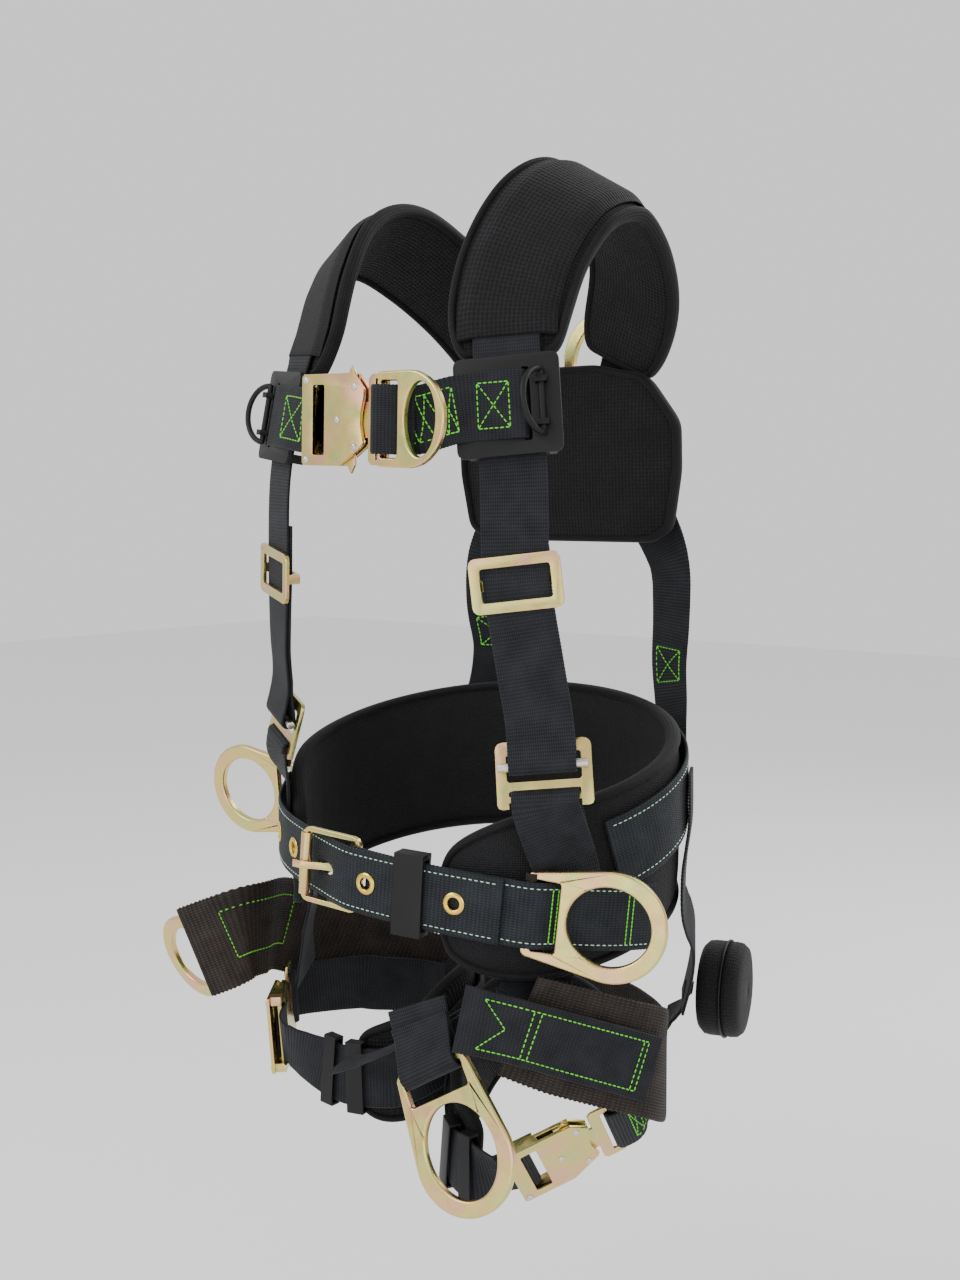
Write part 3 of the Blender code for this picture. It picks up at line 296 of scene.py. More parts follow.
def clothUv(along, across):
    # the two distances of every grid point, one row each
    shape = np.broadcast_shapes(along.shape, across.shape)
    return np.stack([np.broadcast_to(along, shape), np.broadcast_to(across, shape)], -1).reshape(-1, 2)


def moved(matrix, points):
    grid = np.array(matrix)
    return np.asarray(points, float) @ grid[:3, :3].T + grid[:3, 3]


def turned(matrix, directions):
    return np.asarray(directions, float) @ np.array(matrix)[:3, :3].T


def arc(centre, radius, start, end, steps):
    # points on a circle, angles in degrees
    angle = np.radians(np.linspace(start, end, steps + 1))
    return np.stack([centre[0] + radius * np.cos(angle), centre[1] + radius * np.sin(angle)], -1)


def roundedRectangle(width, height, radius, centre=(0.0, 0.0), steps=6):
    corners = [(1, 1, 0), (-1, 1, 90), (-1, -1, 180), (1, -1, 270)]
    return np.vstack([arc((centre[0] + sx * (width / 2 - radius), centre[1] + sy * (height / 2 - radius)),
                          radius, start, start + 90, steps) for sx, sy, start in corners])


def platePiece(name, outline, holes, low, high, matrix, finish, body, stands, edge):
    # an outline and its holes filled flat, raised from low to high, edges rounded
    mesh = bmesh.new()
    edges = []
    for loop in [outline] + holes:
        verts = [mesh.verts.new((x * 0.001, y * 0.001, low * 0.001)) for x, y in loop]
        edges += [mesh.edges.new(pair) for pair in zip(verts, verts[1:] + verts[:1])]
    filled = bmesh.ops.triangle_fill(mesh, use_beauty=True, edges=edges)
    faces = [part for part in filled["geom"] if isinstance(part, bmesh.types.BMFace)]
    raised = bmesh.ops.extrude_face_region(mesh, geom=faces)
    verts = [part for part in raised["geom"] if isinstance(part, bmesh.types.BMVert)]
    bmesh.ops.translate(mesh, verts=verts, vec=(0, 0, (high - low) * 0.001))
    scaled = matrix.copy()
    scaled.translation = matrix.translation * 0.001
    bmesh.ops.transform(mesh, matrix=scaled, verts=mesh.verts)
    bmesh.ops.recalc_face_normals(mesh, faces=mesh.faces)
    return rounded(name, mesh, finish, body, stands, edge)


def rounded(name, mesh, finish, body, stands, edge):
    # edges sharper than 30 degrees are bevelled; everything is shaded smooth with hard normals kept
    data = bpy.data.meshes.new(name)
    for face in mesh.faces:
        face.smooth = True
    mesh.to_mesh(data)
    mesh.free()
    piece = finishPiece(name, data, finish, body, stands)
    bevel = piece.modifiers.new("edges", "BEVEL")
    bevel.width = edge * 0.001
    bevel.segments = 3
    bevel.limit_method = "ANGLE"
    bevel.angle_limit = math.radians(30)
    bevel.harden_normals = True
    return piece


def refined(node, finish, edge):
    # a merged copy of a hardware node with softened edges
    source = frame["nodes"][node]
    mesh = bmesh.new()
    mesh.from_mesh(source.data)
    bmesh.ops.remove_doubles(mesh, verts=mesh.verts, dist=1e-5)
    bmesh.ops.dissolve_limit(mesh, angle_limit=math.radians(0.6), verts=mesh.verts, edges=mesh.edges)
    body = next(name for name, members in frame["record"]["behaviour"]["bodies"].items() if node in members)
    return rounded(node + "_shown", mesh, finish, body, (node,), edge)


def hingeFrame(node, reachAxis="Y"):
    # local X on the hinge, Y towards the ring; or Y on the hinge and X towards it
    joint = next(item for item in frame["joints"] if item["child"] == node)
    corners = np.array([v.co for v in frame["nodes"][node].data.vertices]) * 1000
    axis = Vector(joint["axis"]).normalized()
    origin = Vector(joint["pos_m"]) * 1000
    reach = Vector((corners.min(0) + corners.max(0)) / 2) - origin
    reach = (reach - axis * reach.dot(axis)).normalized()
    if reachAxis == "Y":
        return placement(origin, axis, axis.cross(reach))
    return placement(origin, reach, reach.cross(axis))


def station(x, y, z, face=None):
    # one point of a strap's centre line and the way its outer face looks
    face = face or (x / waist["halfWidth"] ** 2, y / waist["halfDepth"] ** 2, 0.0)
    return np.concatenate([(x, y, z), unit(face)])


def waistStation(angle, offset, height):
    # on the waist ellipse, degrees from the front towards the left
    turn = math.radians(angle)
    x = (waist["halfWidth"] + offset) * math.sin(turn)
    return station(x, -(waist["halfDepth"] + offset) * math.cos(turn), height)


def smoothLine(rows, spacing):
    # centripetal Catmull-Rom through the rows; the facing is carried linearly
    rows = np.asarray(rows, float)
    points = np.vstack([2 * rows[0, :3] - rows[1, :3], rows[:, :3], 2 * rows[-1, :3] - rows[-2, :3]])
    chord = np.linalg.norm(np.diff(points, axis=0), axis=1)
    knots = np.concatenate([[0.0], np.cumsum(np.sqrt(np.maximum(chord, 1e-6)))])
    counts = np.maximum(1, np.round(chord[1:-1] / spacing)).astype(int)
    index = np.repeat(np.arange(len(rows) - 1), counts)
    share = (np.arange(index.size) - np.repeat(np.cumsum(counts) - counts, counts)) / counts[index]
    p = [points[index + k] for k in range(4)]
    k = [knots[index + n][:, None] for n in range(4)]
    t = k[1] + (k[2] - k[1]) * share[:, None]
    a = [p[n] + (p[n + 1] - p[n]) * (t - k[n]) / (k[n + 1] - k[n]) for n in range(3)]
    b = [a[n] + (a[n + 1] - a[n]) * (t - k[n]) / (k[n + 2] - k[n]) for n in range(2)]
    place = b[0] + (b[1] - b[0]) * (t - k[1]) / (k[2] - k[1])
    facing = unit(rows[index, 3:] + (rows[index + 1, 3:] - rows[index, 3:]) * share[:, None])
    return np.vstack([np.hstack([place, facing]), rows[-1]])


def foldEnd(path, radius, outerPly, tail, settle=8.0):
    # the strap's end turned half round a bar and laid back along itself
    travel = unit(path[-1, :3] - path[-2, :3])
    outward = unit(path[-1, 3:] - travel * (path[-1, 3:] @ travel))
    sign = 1.0 if outerPly else -1.0
    bar = path[-1, :3] - outward * radius * sign
    angle = np.radians(np.arange(30, 181, 30))[:, None]
    radial = outward * sign * np.cos(angle) + travel * np.sin(angle)
    turn = np.hstack([bar + radial * radius, radial * sign])
    walked = np.cumsum(np.linalg.norm(np.diff(path[:, :3], axis=0), axis=1)[::-1])
    before = path[-2::-1]
    laid = np.hstack([before[:, :3] - before[:, 3:] * (web["thickness"] + 0.4) * sign, -before[:, 3:]])
    kept = laid[(walked <= tail) & (walked > 2.2 * radius + settle)]
    return np.vstack([path, turn, kept]), placement(bar, np.cross(travel, outward), outward)


def foldStart(path, radius, outerPly, tail):
    folded, bar = foldEnd(path[::-1], radius, outerPly, tail)
    return folded[::-1], bar


def carried(path, spacing):
    # a dense line with its distance, travel, across and outward directions
    dense = smoothLine(path, spacing)
    travel = unit(np.gradient(dense[:, :3], axis=0))
    across = unit(np.cross(travel, dense[:, 3:]))
    steps = np.linalg.norm(np.diff(dense[:, :3], axis=0), axis=1)
    return {"s": np.concatenate([[0.0], np.cumsum(steps)]), "point": dense[:, :3], "travel": travel,
            "across": across, "outward": np.cross(across, travel)}


webTop = np.array([(-1, .45), (-.975, .85), (-.9, 1), (-.6, 1), (-.3, 1), (0, 1), (.3, 1), (.6, 1),
                   (.9, 1), (.975, .85), (1, .45)])
webLoop = np.vstack([webTop, webTop[::-1] * (1, -1)])
straps = {}


def webbing(name, path, finish="webBlack", width=web["width"], thickness=web["thickness"], pitch=web["pitch"],
            depth=web["depth"], scallop=web["scallop"], holes=(), extra=False):
    # a flat loop carried along the path: ribs raise the faces by depth*cos(2 pi s/pitch)
    line = carried(path, pitch / 4)
    ribs = np.cos(2 * np.pi * line["s"] / pitch)[:, None]
    u, v = webLoop[:, 0], webLoop[:, 1]
    wide = u * width / 2 + np.sign(u) * (np.abs(u) > 0.95) * scallop * ribs
    tall = v * thickness / 2 + np.sign(v) * (np.abs(u) < 0.95) * depth * ribs
    points = sweep(line["point"], line["across"], line["outward"], wide, tall)
    rows, columns = wide.shape
    uv = clothUv(line["s"][:, None], wide)
    piece = addPiece(name + "_shown", points.reshape(-1, 3), ringFaces(rows, columns), finish, uv=uv,
                     stands=() if extra else (name,))
    straps[name] = dict(line, top=thickness / 2 + depth, piece=piece)
    if holes:
        pierce(piece, holes)
    return piece


def pierce(piece, holes):
    # exact difference of plates (outline, frame) from a strap, applied at once
    tools = []
    for outline, matrix in holes:
        tool = platePiece("punch", outline, [], -12.0, 12.0, matrix, "plastic", mainBody, (), 0.01)
        tool.modifiers.clear()
        cut = piece.modifiers.new("cut", "BOOLEAN")
        cut.operation = "DIFFERENCE"
        cut.solver = "EXACT"
        cut.object = tool
        tools.append(tool)
    bpy.context.view_layer.update()
    view = bpy.context.evaluated_depsgraph_get()
    data = bpy.data.meshes.new_from_object(piece.evaluated_get(view))
    piece.modifiers.clear()
    piece.data = data
    data.materials.clear()
    data.materials.append(materials["webBelt"])
    for tool in tools:
        bpy.data.objects.remove(tool)


shoulderRows = [
    (97, 120, 4, 0.5, 0.85, 0.0), (94, 123, 45, 0.5, 0.85, 0.0), (88, 131, 80, 0.45, 0.9, 0.0),
    (84, 134, 112, 0.4, 0.92, 0.0), (86, 133, 152, 0.35, 0.93, 0.0), (84, 132, 192, 0.3, 0.95, 0.0),
    (64, 132, 232, 0.15, 1.0, 0.0), (38, 132, 268, 0.1, 1.0, 0.05), (32, 132, 302, 0.05, 1.0, 0.1),
    (48, 124, 350, 0.15, 0.93, 0.3), (74, 103, 402, 0.3, 0.75, 0.55), (91, 60, 441, 0.42, 0.42, 0.8),
    (100, 12, 462, 0.5, 0.0, 0.86), (99, -34, 449, 0.5, -0.45, 0.74), (92, -66, 412, 0.45, -0.8, 0.4),
    (89, -84, 368, 0.42, -0.9, 0.15), (94, -92, 336, 0.45, -0.89, 0.08), (99, -95, 300, 0.45, -0.89, 0.05),
    (105, -99, 256, 0.45, -0.89, 0.0), (108, -99, 186, 0.45, -0.89, 0.0), (116, -95, 130, 0.5, -0.87, -0.02),
    (122, -93, 94, 0.5, -0.87, -0.05), (128, -98, 68, 0.5, -0.87, -0.05)]


def shoulderLine(side):
    # the right strap mirrors the left, 8 mm wider and 4 mm further back, lower at the shoulder
    rows = np.array(shoulderRows, float)
    rows[:, 3:] = unit(rows[:, 3:])
    if side > 0:
        return rows
    rows[:, (0, 3)] *= -1
    rows[:, :2] += (-8.0, 4.0)
    rows[:, 2] -= 0.1 * np.maximum(0.0, rows[:, 2] - 300.0)
    foot = np.maximum(0.0, 150.0 - rows[:, 2])
    rows[:, 1] += 0.16 * foot
    rows[:, 2] += 0.12 * foot
    return rows


def crossing(path, height):
    # the last place where a strap crosses a height, with its travel and outer face
    z = path[:, 2]
    i = np.nonzero(((z[:-1] - height) * (z[1:] - height) <= 0) & (z[:-1] != z[1:]))[0][-1]
    share = (z[i] - height) / (z[i] - z[i + 1])
    travel = unit(path[i + 1, :3] - path[i, :3])
    face = path[i, 3:]
    return path[i, :3] + (path[i + 1, :3] - path[i, :3]) * share, travel, unit(face - travel * (face @ travel))


def guideFrame(line, side):
    point, travel, face = crossing(line, 300.0)
    outer = np.cross(travel, face) * -side
    return placement(point, outer if outer[0] * side > 0 else -outer, face)


def inFrame(matrix, *rows):
    # stations given in a fitting's own frame
    rows = np.array(rows, float)
    return np.hstack([moved(matrix, rows[:, :3]), unit(turned(matrix, rows[:, 3:]))])


def guideTurn(matrix):
    # chest web behind the plate, up through its slot and back across the front
    angle = np.pi * np.arange(7) / 6
    turn = np.stack([9.0 + 3.1 * np.sin(angle), 0 * angle, 6.5 - 3.1 * np.cos(angle),
                     np.sin(angle), 0 * angle, -np.cos(angle)], -1)
    first = [(-22, 0, 3.4, 0, 0, -1), (2, 0, 3.4, 0, 0, -1)]
    return inFrame(matrix, *first, *turn, (0, 0, 9.6, 0, 0, 1), (-33, 0, 9.6, 0, 0, 1))


quick = {"barX": -19.0, "barZ": -1.0, "webRadius": 3.9, "tabX": 49.2, "tabZ": 3.0, "tabRadius": 3.7}
chest = placement((-18.0, -132.0, 294.0), (0.995, -0.087, -0.03), (-0.087, -0.995, 0.0))
guides = {}
torsoPlates = {}


def buildShoulders():
    for word, side in (("left", 1), ("right", -1)):
        line = smoothLine(shoulderLine(side), 12.0)
        path, bar = foldEnd(line, 4.6, True, 150.0)
        webbing("shoulder_web_" + word, path)
        torsoPlates[word] = bar @ Matrix.Translation((0, 0, -5.5))
        guides[word] = guideFrame(line, side)
        for node, finish, edge in (("torso_bar_", "bright", 0.4), ("torso_buckle_", "zinc", 0.7),
                                   ("torso_adjuster_", "zinc", 0.8), ("chest_guide_", "plastic", 0.7)):
            refined(node + word, finish, edge)


def buildChest():
    turn = guideTurn(guides["left"])
    z = 6.9 - deeLoop
    near = inFrame(chest, (quick["tabX"] + 22, 0, z - 3.5, 0.15, 0, 1), (quick["tabX"], 0, z, 0, 0, 1))
    middle = smoothLine(np.vstack([turn[-1:], near]), 18.0)
    webbing("chest_web_left", foldEnd(np.vstack([turn[:-1], middle]), deeLoop, False, 46.0, 3.5)[0])
    turn = guideTurn(guides["right"])
    z = quick["barZ"] - quick["webRadius"]
    near = inFrame(chest, (quick["barX"] - 20, 0, z, 0, 0, 1), (quick["barX"], 0, z, 0, 0, 1))
    middle = smoothLine(np.vstack([turn[-1:], near]), 12.0)
    webbing("chest_web_right", foldEnd(np.vstack([turn[:-1], middle]), quick["webRadius"], False, 26.0)[0])


def buildTorsoLower():
    for word, side in (("left", 1), ("right", -1)):
        foot = torsoPlates[word] @ Matrix.Translation((0, 21.0, 0))
        line = inFrame(foot, (0, 0, 4.2, 0, 0, 1), (0, 6, 3.2, 0, 0, 1))
        angle = 54.5 if side > 0 else -54.0
        top = max(frontHeight(angle - 9), frontHeight(angle + 9)) + 22.5
        rows = [waistStation(angle, -4.2, top + 2),
                waistStation(angle + side, -5.0 if side > 0 else -4.3, top - 18)]
        path = foldStart(smoothLine(np.vstack([line, rows]), 14.0), 4.2, True, 34.0)[0]
        webbing("torso_lower_web_" + word, path)


def frontHeight(angle):
    # the front belt dips towards the left and rises to meet the rear belt
    return -23.0 - 0.26 * max(angle, -50.0) - 0.35 * min(0.0, angle + 50.0)


def beltHeight(angle):
    return waist["beltHeight"] - waist["beltRise"] * waist["halfDepth"] * math.cos(math.radians(angle))


def grommetFrame(angle):
    row = waistStation(angle, 3.0, frontHeight(angle))
    along = (math.cos(math.radians(angle)), 0.77 * math.sin(math.radians(angle)), -0.09)
    return placement(row[:3], along, row[3:])


def buildBelt():
    rear = np.array([waistStation(a, -1.6, beltHeight(a)) for a in range(68, 270, 6)])
    webbing("belt_rear_web", rear, "webBelt", 50.0, 2.4, 3.0, 0.18)
    buckleRows = ((82, 1.3), (72, 1.3), (64, 1.3), (57, 1.3), (53, 1.6), (49, 4.2), (45.3, 7.6),
                  (belt["barLeft"], 7.9), (41.5, 7.5), (37, 4.2), (31, 1.2), (24, 0.3), (16, 0.2),
                  (7, 0.6), (1, 1.4), (belt["heel"], 2.0))
    rows = np.array([waistStation(a, o, frontHeight(a)) for a, o in buckleRows])
    path, heel = foldEnd(smoothLine(rows, 14.0), 4.6, True, 24.0)
    slot = roundedRectangle(8.4, 26.0, 1.0)
    webbing("belt_buckle_web", path, "webBelt", pitch=3.0, depth=0.16, holes=[(slot, heel)])
    tongueRows = ((-98, 1.9), (-92, 1.9), (-88, 2.2), (-84.5, 5.0), (-80.3, 8.2), (belt["barRight"], 8.5),
                  (-75.7, 8.2), (-71, 5.0), (-65, 3.2), (-56, 2.8), (-47, 2.4), (-38, 2.0), (-30, 1.2),
                  (-24, 1.0), (-19.7, 0.8), (-14.5, 2.0), (-9, 4.4), (belt["heel"], 6.2), (1, 5.0),
                  (7, 3.5), (16, 3.0), (24, 3.1), (30, 4.2), (34, 6.0), (36.5, 7.2))
    rows = np.array([waistStation(a, o, frontHeight(a)) for a, o in tongueRows])
    holes = []
    for angle in belt["grommets"]:
        reach = (belt["slot"] if angle == belt["prong"] else belt["hole"], belt["hole"])
        holes.append((arc((0, 0), 1.0, 0, 351, 39) * reach, grommetFrame(angle)))
    webbing("belt_tongue_web", smoothLine(rows, 14.0), "webBelt", pitch=3.0, depth=0.18, holes=holes)
    for node, finish, edge in (("belt_buckle_frame", "zinc", 0.9), ("belt_buckle_prong", "zinc", 0.6),
                               ("belt_buckle_roller", "zinc", 0.25), ("belt_keeper", "plastic", 0.9)):
        refined(node, finish, edge)
    for index, angle in enumerate(belt["grommets"]):
        if angle != belt["prong"]:
            buildGrommet("belt_grommet_%d" % index, angle)


def buildGrommet(name, angle):
    # a domed flange on each face joined by a barrel: a closed profile turned round the hole
    profile = np.array([(4.2, -1.6), (4.2, 1.6), (4.5, 2.1), (5.3, 2.4), (6.4, 2.3), (7.6, 1.7), (7.9, 1.25),
                        (7.7, 1.2), (5.0, 1.2), (4.9, -1.2), (7.7, -1.2), (7.6, -1.7), (6.0, -2.0),
                        (4.6, -1.9)])
    point, travel, facing = nearest("belt_tongue_web", grommetFrame(angle).translation)
    revolved(name, profile, placement(point, travel, facing), "brass")


def nearest(name, place):
    strap = straps[name]
    i = int(np.argmin(np.linalg.norm(strap["point"] - np.array(place), axis=1)))
    return strap["point"][i], strap["travel"][i], strap["outward"][i]


def revolved(name, profile, matrix, finish, body=mainBody, stands=(), steps=40):
    # x = r cos a, y = r sin a, z = height; the profile is a closed loop
    angle = 2 * np.pi * np.arange(steps) / steps
    r, z = profile[:, 0], profile[:, 1]
    grid = np.stack([np.cos(angle)[:, None] * r, np.sin(angle)[:, None] * r,
                     np.broadcast_to(z, (steps, len(z)))], -1)
    columns = len(z)
    faces = ringFaces(steps, columns, True)
    uv = clothUv(angle[:, None] * 20.0, r + z)
    return addPiece(name, moved(matrix, grid.reshape(-1, 3)), faces, finish, body, uv, stands)


def buildHips():
    hip = [(112, -102, -110, 0.6, -0.8, -0.1), (134, -78, -122, 0.8, -0.6, 0), (157, -45, -136, 0.9, -0.4, 0),
           (167, -18, -147, 1, 0.1, 0), (158, 10, -160, 0.85, 0.5, 0), (138, 38, -166, 0.75, 0.65, 0),
           (108, 70, -172, 0.65, 0.75, 0), (66, 100, -176, 0.4, 0.9, 0), (0, 116, -178, 0, 1, 0),
           (-66, 102, -174, -0.4, 0.9, 0), (-124, 68, -160, -0.7, 0.7, 0), (-174, 20, -130, -0.95, 0.3, 0),
           (-186, -26, -108, -1, 0, 0), (-173, -56, -102, -1, 0.05, 0), (-174, -80, -102, -0.86, 0.47, 0),
           (-189, -95, -110, -0.5, 0.85, 0), (-206, -104, -118, -0.47, 0.88, 0)]
    webbing("hip_web", smoothLine(faced(hip), 22.0), "webBrown", 75.0, 3.0, 3.6, 0.3, 0.5)
    left = [(172, -28, -148, 0.95, -0.2, 0), (162, -50, -138, 0.9, -0.45, 0), (140, -83, -123, 0.75, -0.65, 0),
            (120, -107, -112, 0.55, -0.83, 0), (98, -122, -106, 0.3, -0.95, 0.1),
            (84, -130, -103, 0.1, -0.95, 0.3)]
    webbing("seat_web_left", smoothLine(faced(left), 16.0))
    right = [(-192, -51, -107, 0.5, -0.86, 0), (-202, -56.5, -113.5, 0.5, -0.86, 0),
             (-212, -62, -120, 0.5, -0.86, 0)]
    webbing("seat_web_right", foldEnd(smoothLine(faced(right), 4.0), deeLoop, False, 27.0, 4.0)[0])
    loop = [(40, -122, -104, 0.25, -0.95, 0.2), (45, -124, -114, 0.25, -0.96, 0.1),
            (52, -126, -126, 0.25, -0.97, 0), (61, -126, -141, 0.25, -0.97, 0)]
    webbing("seat_loop_left", foldEnd(smoothLine(faced(loop), 8.0), deeLoop, False, 36.0)[0])


def faced(rows):
    rows = np.array(rows, float)
    rows[:, 3:] = unit(rows[:, 3:])
    return rows


def buildRisers():
    rows = [waistStation(52, -22.5, -30), waistStation(49, -22.5, -62),
            *faced([(108, -72, -88, 0.65, -0.75, 0.1), (104, -86, -106, 0.6, -0.8, 0.1),
                    (98, -92, -128, 0.6, -0.8, 0)])]
    webbing("riser_web_left", smoothLine(rows, 14.0))
    rows = [waistStation(-52, -22.5, -20), waistStation(-55, -22.5, -56),
            *faced([(-124, -58, -88, -0.85, -0.5, 0), (-134, -52, -112, -0.85, -0.5, 0),
                    (-141, -46, -136, -0.9, -0.4, 0)])]
    webbing("riser_web_right", smoothLine(rows, 14.0))
    rows = faced([(80, -93, -96, -0.4, 0, 0.9), (62, -96, -110, -0.45, -0.1, 0.88),
                  (40, -101, -126, -0.5, -0.1, 0.85),
                  (6, -106, -147, -0.5, -0.1, 0.85), (-26, -108, -164, -0.45, -0.1, 0.88),
                  (-46, -108, -172, -0.3, -0.2, 0.92)])
    webbing("crossing_web", smoothLine(rows, 16.0), width=26.0, thickness=3.0)


leg = {"centre": (77.0, -2.0), "halfWidth": 72.0, "halfDepth": 83.0, "squareness": 2.5,
       "left": ((-180, -170), (-150, -165), (-120, -154), (-90, -158), (-75, -182), (-60, -206), (-45, -222),
                (-30, -228), (-10, -231), (10, -229), (30, -224), (60, -200), (75, -186), (95, -174),
                (130, -168), (180, -170)),
       "right": ((-180, -170), (-150, -165), (-120, -154), (-90, -158), (-75, -172), (-60, -181), (-40, -188),
                 (-10, -189), (10, -185), (30, -178), (60, -170), (75, -166), (95, -158), (130, -164),
                 (180, -170))}
legBuckles = {"left": placement((108, -57, -215), (0.647, 0.634, 0.412), (0.744, -0.43, -0.507)),
              "right": placement((-143, -67, -170), (-0.57, 0.82, 0.1), (-0.82, -0.57, -0.05))}


def legStation(side, angle, offset):
    # a rounded rectangle in front of the thigh, a smaller ellipse behind it
    knots = np.array(leg["left" if side > 0 else "right"], float)
    turn = math.radians(angle)
    behind = min(1.0, max(0.0, (abs(angle) - 75.0) / 45.0))
    power = 2.0 / (leg["squareness"] + (2.0 - leg["squareness"]) * behind)
    sine = math.copysign(abs(math.sin(turn)) ** power, math.sin(turn))
    cosine = math.copysign(abs(math.cos(turn)) ** power, math.cos(turn))
    halfWidth = leg["halfWidth"] - 12.0 * behind
    halfDepth = leg["halfDepth"] - 16.0 * behind
    x = leg["centre"][0] + (halfWidth + offset) * sine
    y = leg["centre"][1] - (halfDepth + offset) * cosine
    face = (math.sin(turn) / halfWidth * side, -math.cos(turn) / halfDepth, 0)
    return station(x * side, y, float(np.interp(angle, knots[:, 0], knots[:, 1])), face)


def buildLegs():
    for word, side in (("left", 1), ("right", -1)):
        buckle = legBuckles[word]
        beyond = quick["tabX"] + (12 if side > 0 else 7)
        z = quick["tabZ"] + quick["tabRadius"]
        tab = inFrame(buckle, (quick["tabX"], 0, z, 0, 0, 1), (beyond, 0, z - 1, 0.1, 0, 1))
        outside = (90, 105) if side > 0 else (108,)
        angles = outside + (120, 135, 150, 165, -180) + tuple(range(-170, -5 if side > 0 else 1, 10))
        middle = [legStation(side, a, 1.5) for a in angles]
        z = quick["barZ"] - quick["webRadius"]
        ahead = quick["barX"] - (18 if side > 0 else 16)
        near = inFrame(buckle, (ahead, 0, z, 0, 0, 1), (quick["barX"], 0, z, 0, 0, 1))
        path = foldEnd(smoothLine(np.vstack([tab, middle, near]), 12.0), quick["webRadius"], False, 24.0)[0]
        webbing("leg_web_" + word, foldStart(path, quick["tabRadius"], True, 24.0)[0])
        refined("leg_keeper_" + word, "plastic", 0.6)
        angle = -12.0 if side > 0 else -1.0
        row, after = legStation(side, angle, 1.5), legStation(side, angle + 5, 1.5)
        across = placement(row[:3], after[:3] - row[:3], row[3:])
        band = placement(row[:3], across.col[1][:3], across.col[0][:3])
        platePiece("leg_band_" + word, roundedRectangle(54.0, 9.4, 1.5), [roundedRectangle(49.6, 6.6, 0.6)],
                   -6.0, 6.0, band, "plastic", mainBody, (), 0.6)
        buildQuick("leg_" + word, buckle, ("upper",))


def buildQuick(name, matrix, levers):
    # stamped two-plate quick-connect with five rivet heads
    refined(name + "_buckle_body", "zinc", 0.7)
    refined(name + "_buckle_tab", "zinc", 0.5)
    for word in levers:
        refined(name + "_release_" + word, "zinc", 0.4)
    head = np.array([(0.01, 8.3), (1.2, 8.2), (2.2, 7.8), (2.7, 7.05), (2.7, 6.6), (0.01, 6.6)])
    for index, (x, y) in enumerate(((-27, -27), (-27, 27), (22, -18), (22, 22), (5, 0))):
        rivet = matrix @ Matrix.Translation((x, y, 0))
        revolved("%s_rivet_%d" % (name, index), head, rivet, "bright", steps=20)


def deePiece(node, length=104.0, shoulder=58.0, crownRadius=37.5, slotWidth=47.5, slotReach=20.0,
             bar=6.5, thickness=6.0, rim=11.0, edge=1.7):
    # forged dee: straight bar, sides flaring to a round crown, a web slot and a large eye
    half, side = shoulder / 2, bar / 2
    crown = length - side - crownRadius
    rise = math.degrees(math.asin((crownRadius - half) / (crown + side)))
    outline = np.vstack([arc((half - 5, 5 - side), 5.0, -90, 0, 8),
                         arc((0, crown), crownRadius, -rise, 180 + rise, 72),
                         arc((5 - half, 5 - side), 5.0, 180, 270, 8)])
    slot = roundedRectangle(slotWidth, slotReach - side, 2.0, (0.0, (slotReach + side) / 2))
    eyeLow, eyeHigh = slotReach + 6.0, length - side - rim
    eyeSize = (crownRadius - rim, (eyeHigh - eyeLow) / 2)
    eye = arc((0, 0), 1.0, 0, 355, 71) * eyeSize + (0, (eyeLow + eyeHigh) / 2)
    matrix = hingeFrame(node)
    platePiece(node + "_shown", outline, [slot, eye], -thickness / 2, thickness / 2, matrix,
               "zinc", node, (node,), edge)
    return matrix


def buildDees():
    for node in ("side_dee_left", "side_dee_right"):
        deePiece(node, length=97.0)
    for node in ("seat_dee_left", "seat_dee_right", "dorsal_dee"):
        deePiece(node)
    for node, finish, end in (("side_dee_left", "webBrown", -1), ("side_dee_right", "sleeve", 1)):
        matrix = hingeFrame(node) @ Matrix.Translation((end * 25.4, 0, 0))
        tube = [roundedRectangle(8.6, 8.2, 2.0), roundedRectangle(7.0, 6.6, 1.0)]
        turn = matrix @ Matrix.Rotation(math.radians(90), 4, "Y")
        platePiece(node + "_sleeve", tube[0], tube[1:], -2.6, 2.6, turn, finish, node, (), 0.5)
    deePiece("chest_dee", 60.0, 62.0, 31.5, 49.6, 17.0, 5.2, 5.2, 7.5, 1.4)
    for node in ("lanyard_ring_left", "lanyard_ring_right"):
        buildRing(node)


def buildRing(node):
    # round plastic stock on a half circle closed by its straight pivot side
    bend = np.radians(np.linspace(-90, 90, 41))
    curve = np.stack([21 * np.cos(bend), 21 * np.sin(bend)], -1)
    straight = np.stack([np.zeros(12), np.linspace(21, -21, 14)[1:-1]], -1)
    line = np.vstack([curve, straight])
    travel = unit(np.roll(line, -1, 0) - np.roll(line, 1, 0))
    normal = np.stack([travel[:, 1], -travel[:, 0]], -1)
    angle = 2 * np.pi * np.arange(12) / 12
    flat = line[:, None] + normal[:, None] * (2.1 * np.cos(angle))[None, :, None]
    grid = np.concatenate([flat, np.broadcast_to(2.1 * np.sin(angle), (len(line), 12))[..., None]], -1)
    points = moved(hingeFrame(node, "X"), grid.reshape(-1, 3))
    addPiece(node + "_shown", points, ringFaces(len(line), 12, True), "plastic", node, stands=(node,))


padTop = np.stack([-np.cos(np.pi * (np.arange(16) + 0.5) / 16), np.zeros(16)], -1)
padTop[:, 1] = (1 - np.abs(padTop[:, 0]) ** 5) ** 0.5
padLoop = np.vstack([padTop, padTop[::-1] * (1, -1)])


pad = {"edge": 0.97, "seamBand": 0.04, "pressure": 4.0, "frames": 20, "cap": 2.0, "spacing": 5.0}
waistPad = {"start": 21.0, "end": 316.0, "rows": 150, "offset": -11.4, "taper": 34.0}
dorsalPad = {"rows": 30, "heights": (-72, -62, -28, 8, 52, 60), "halfWidths": (30, 78, 104, 104, 96, 80)}


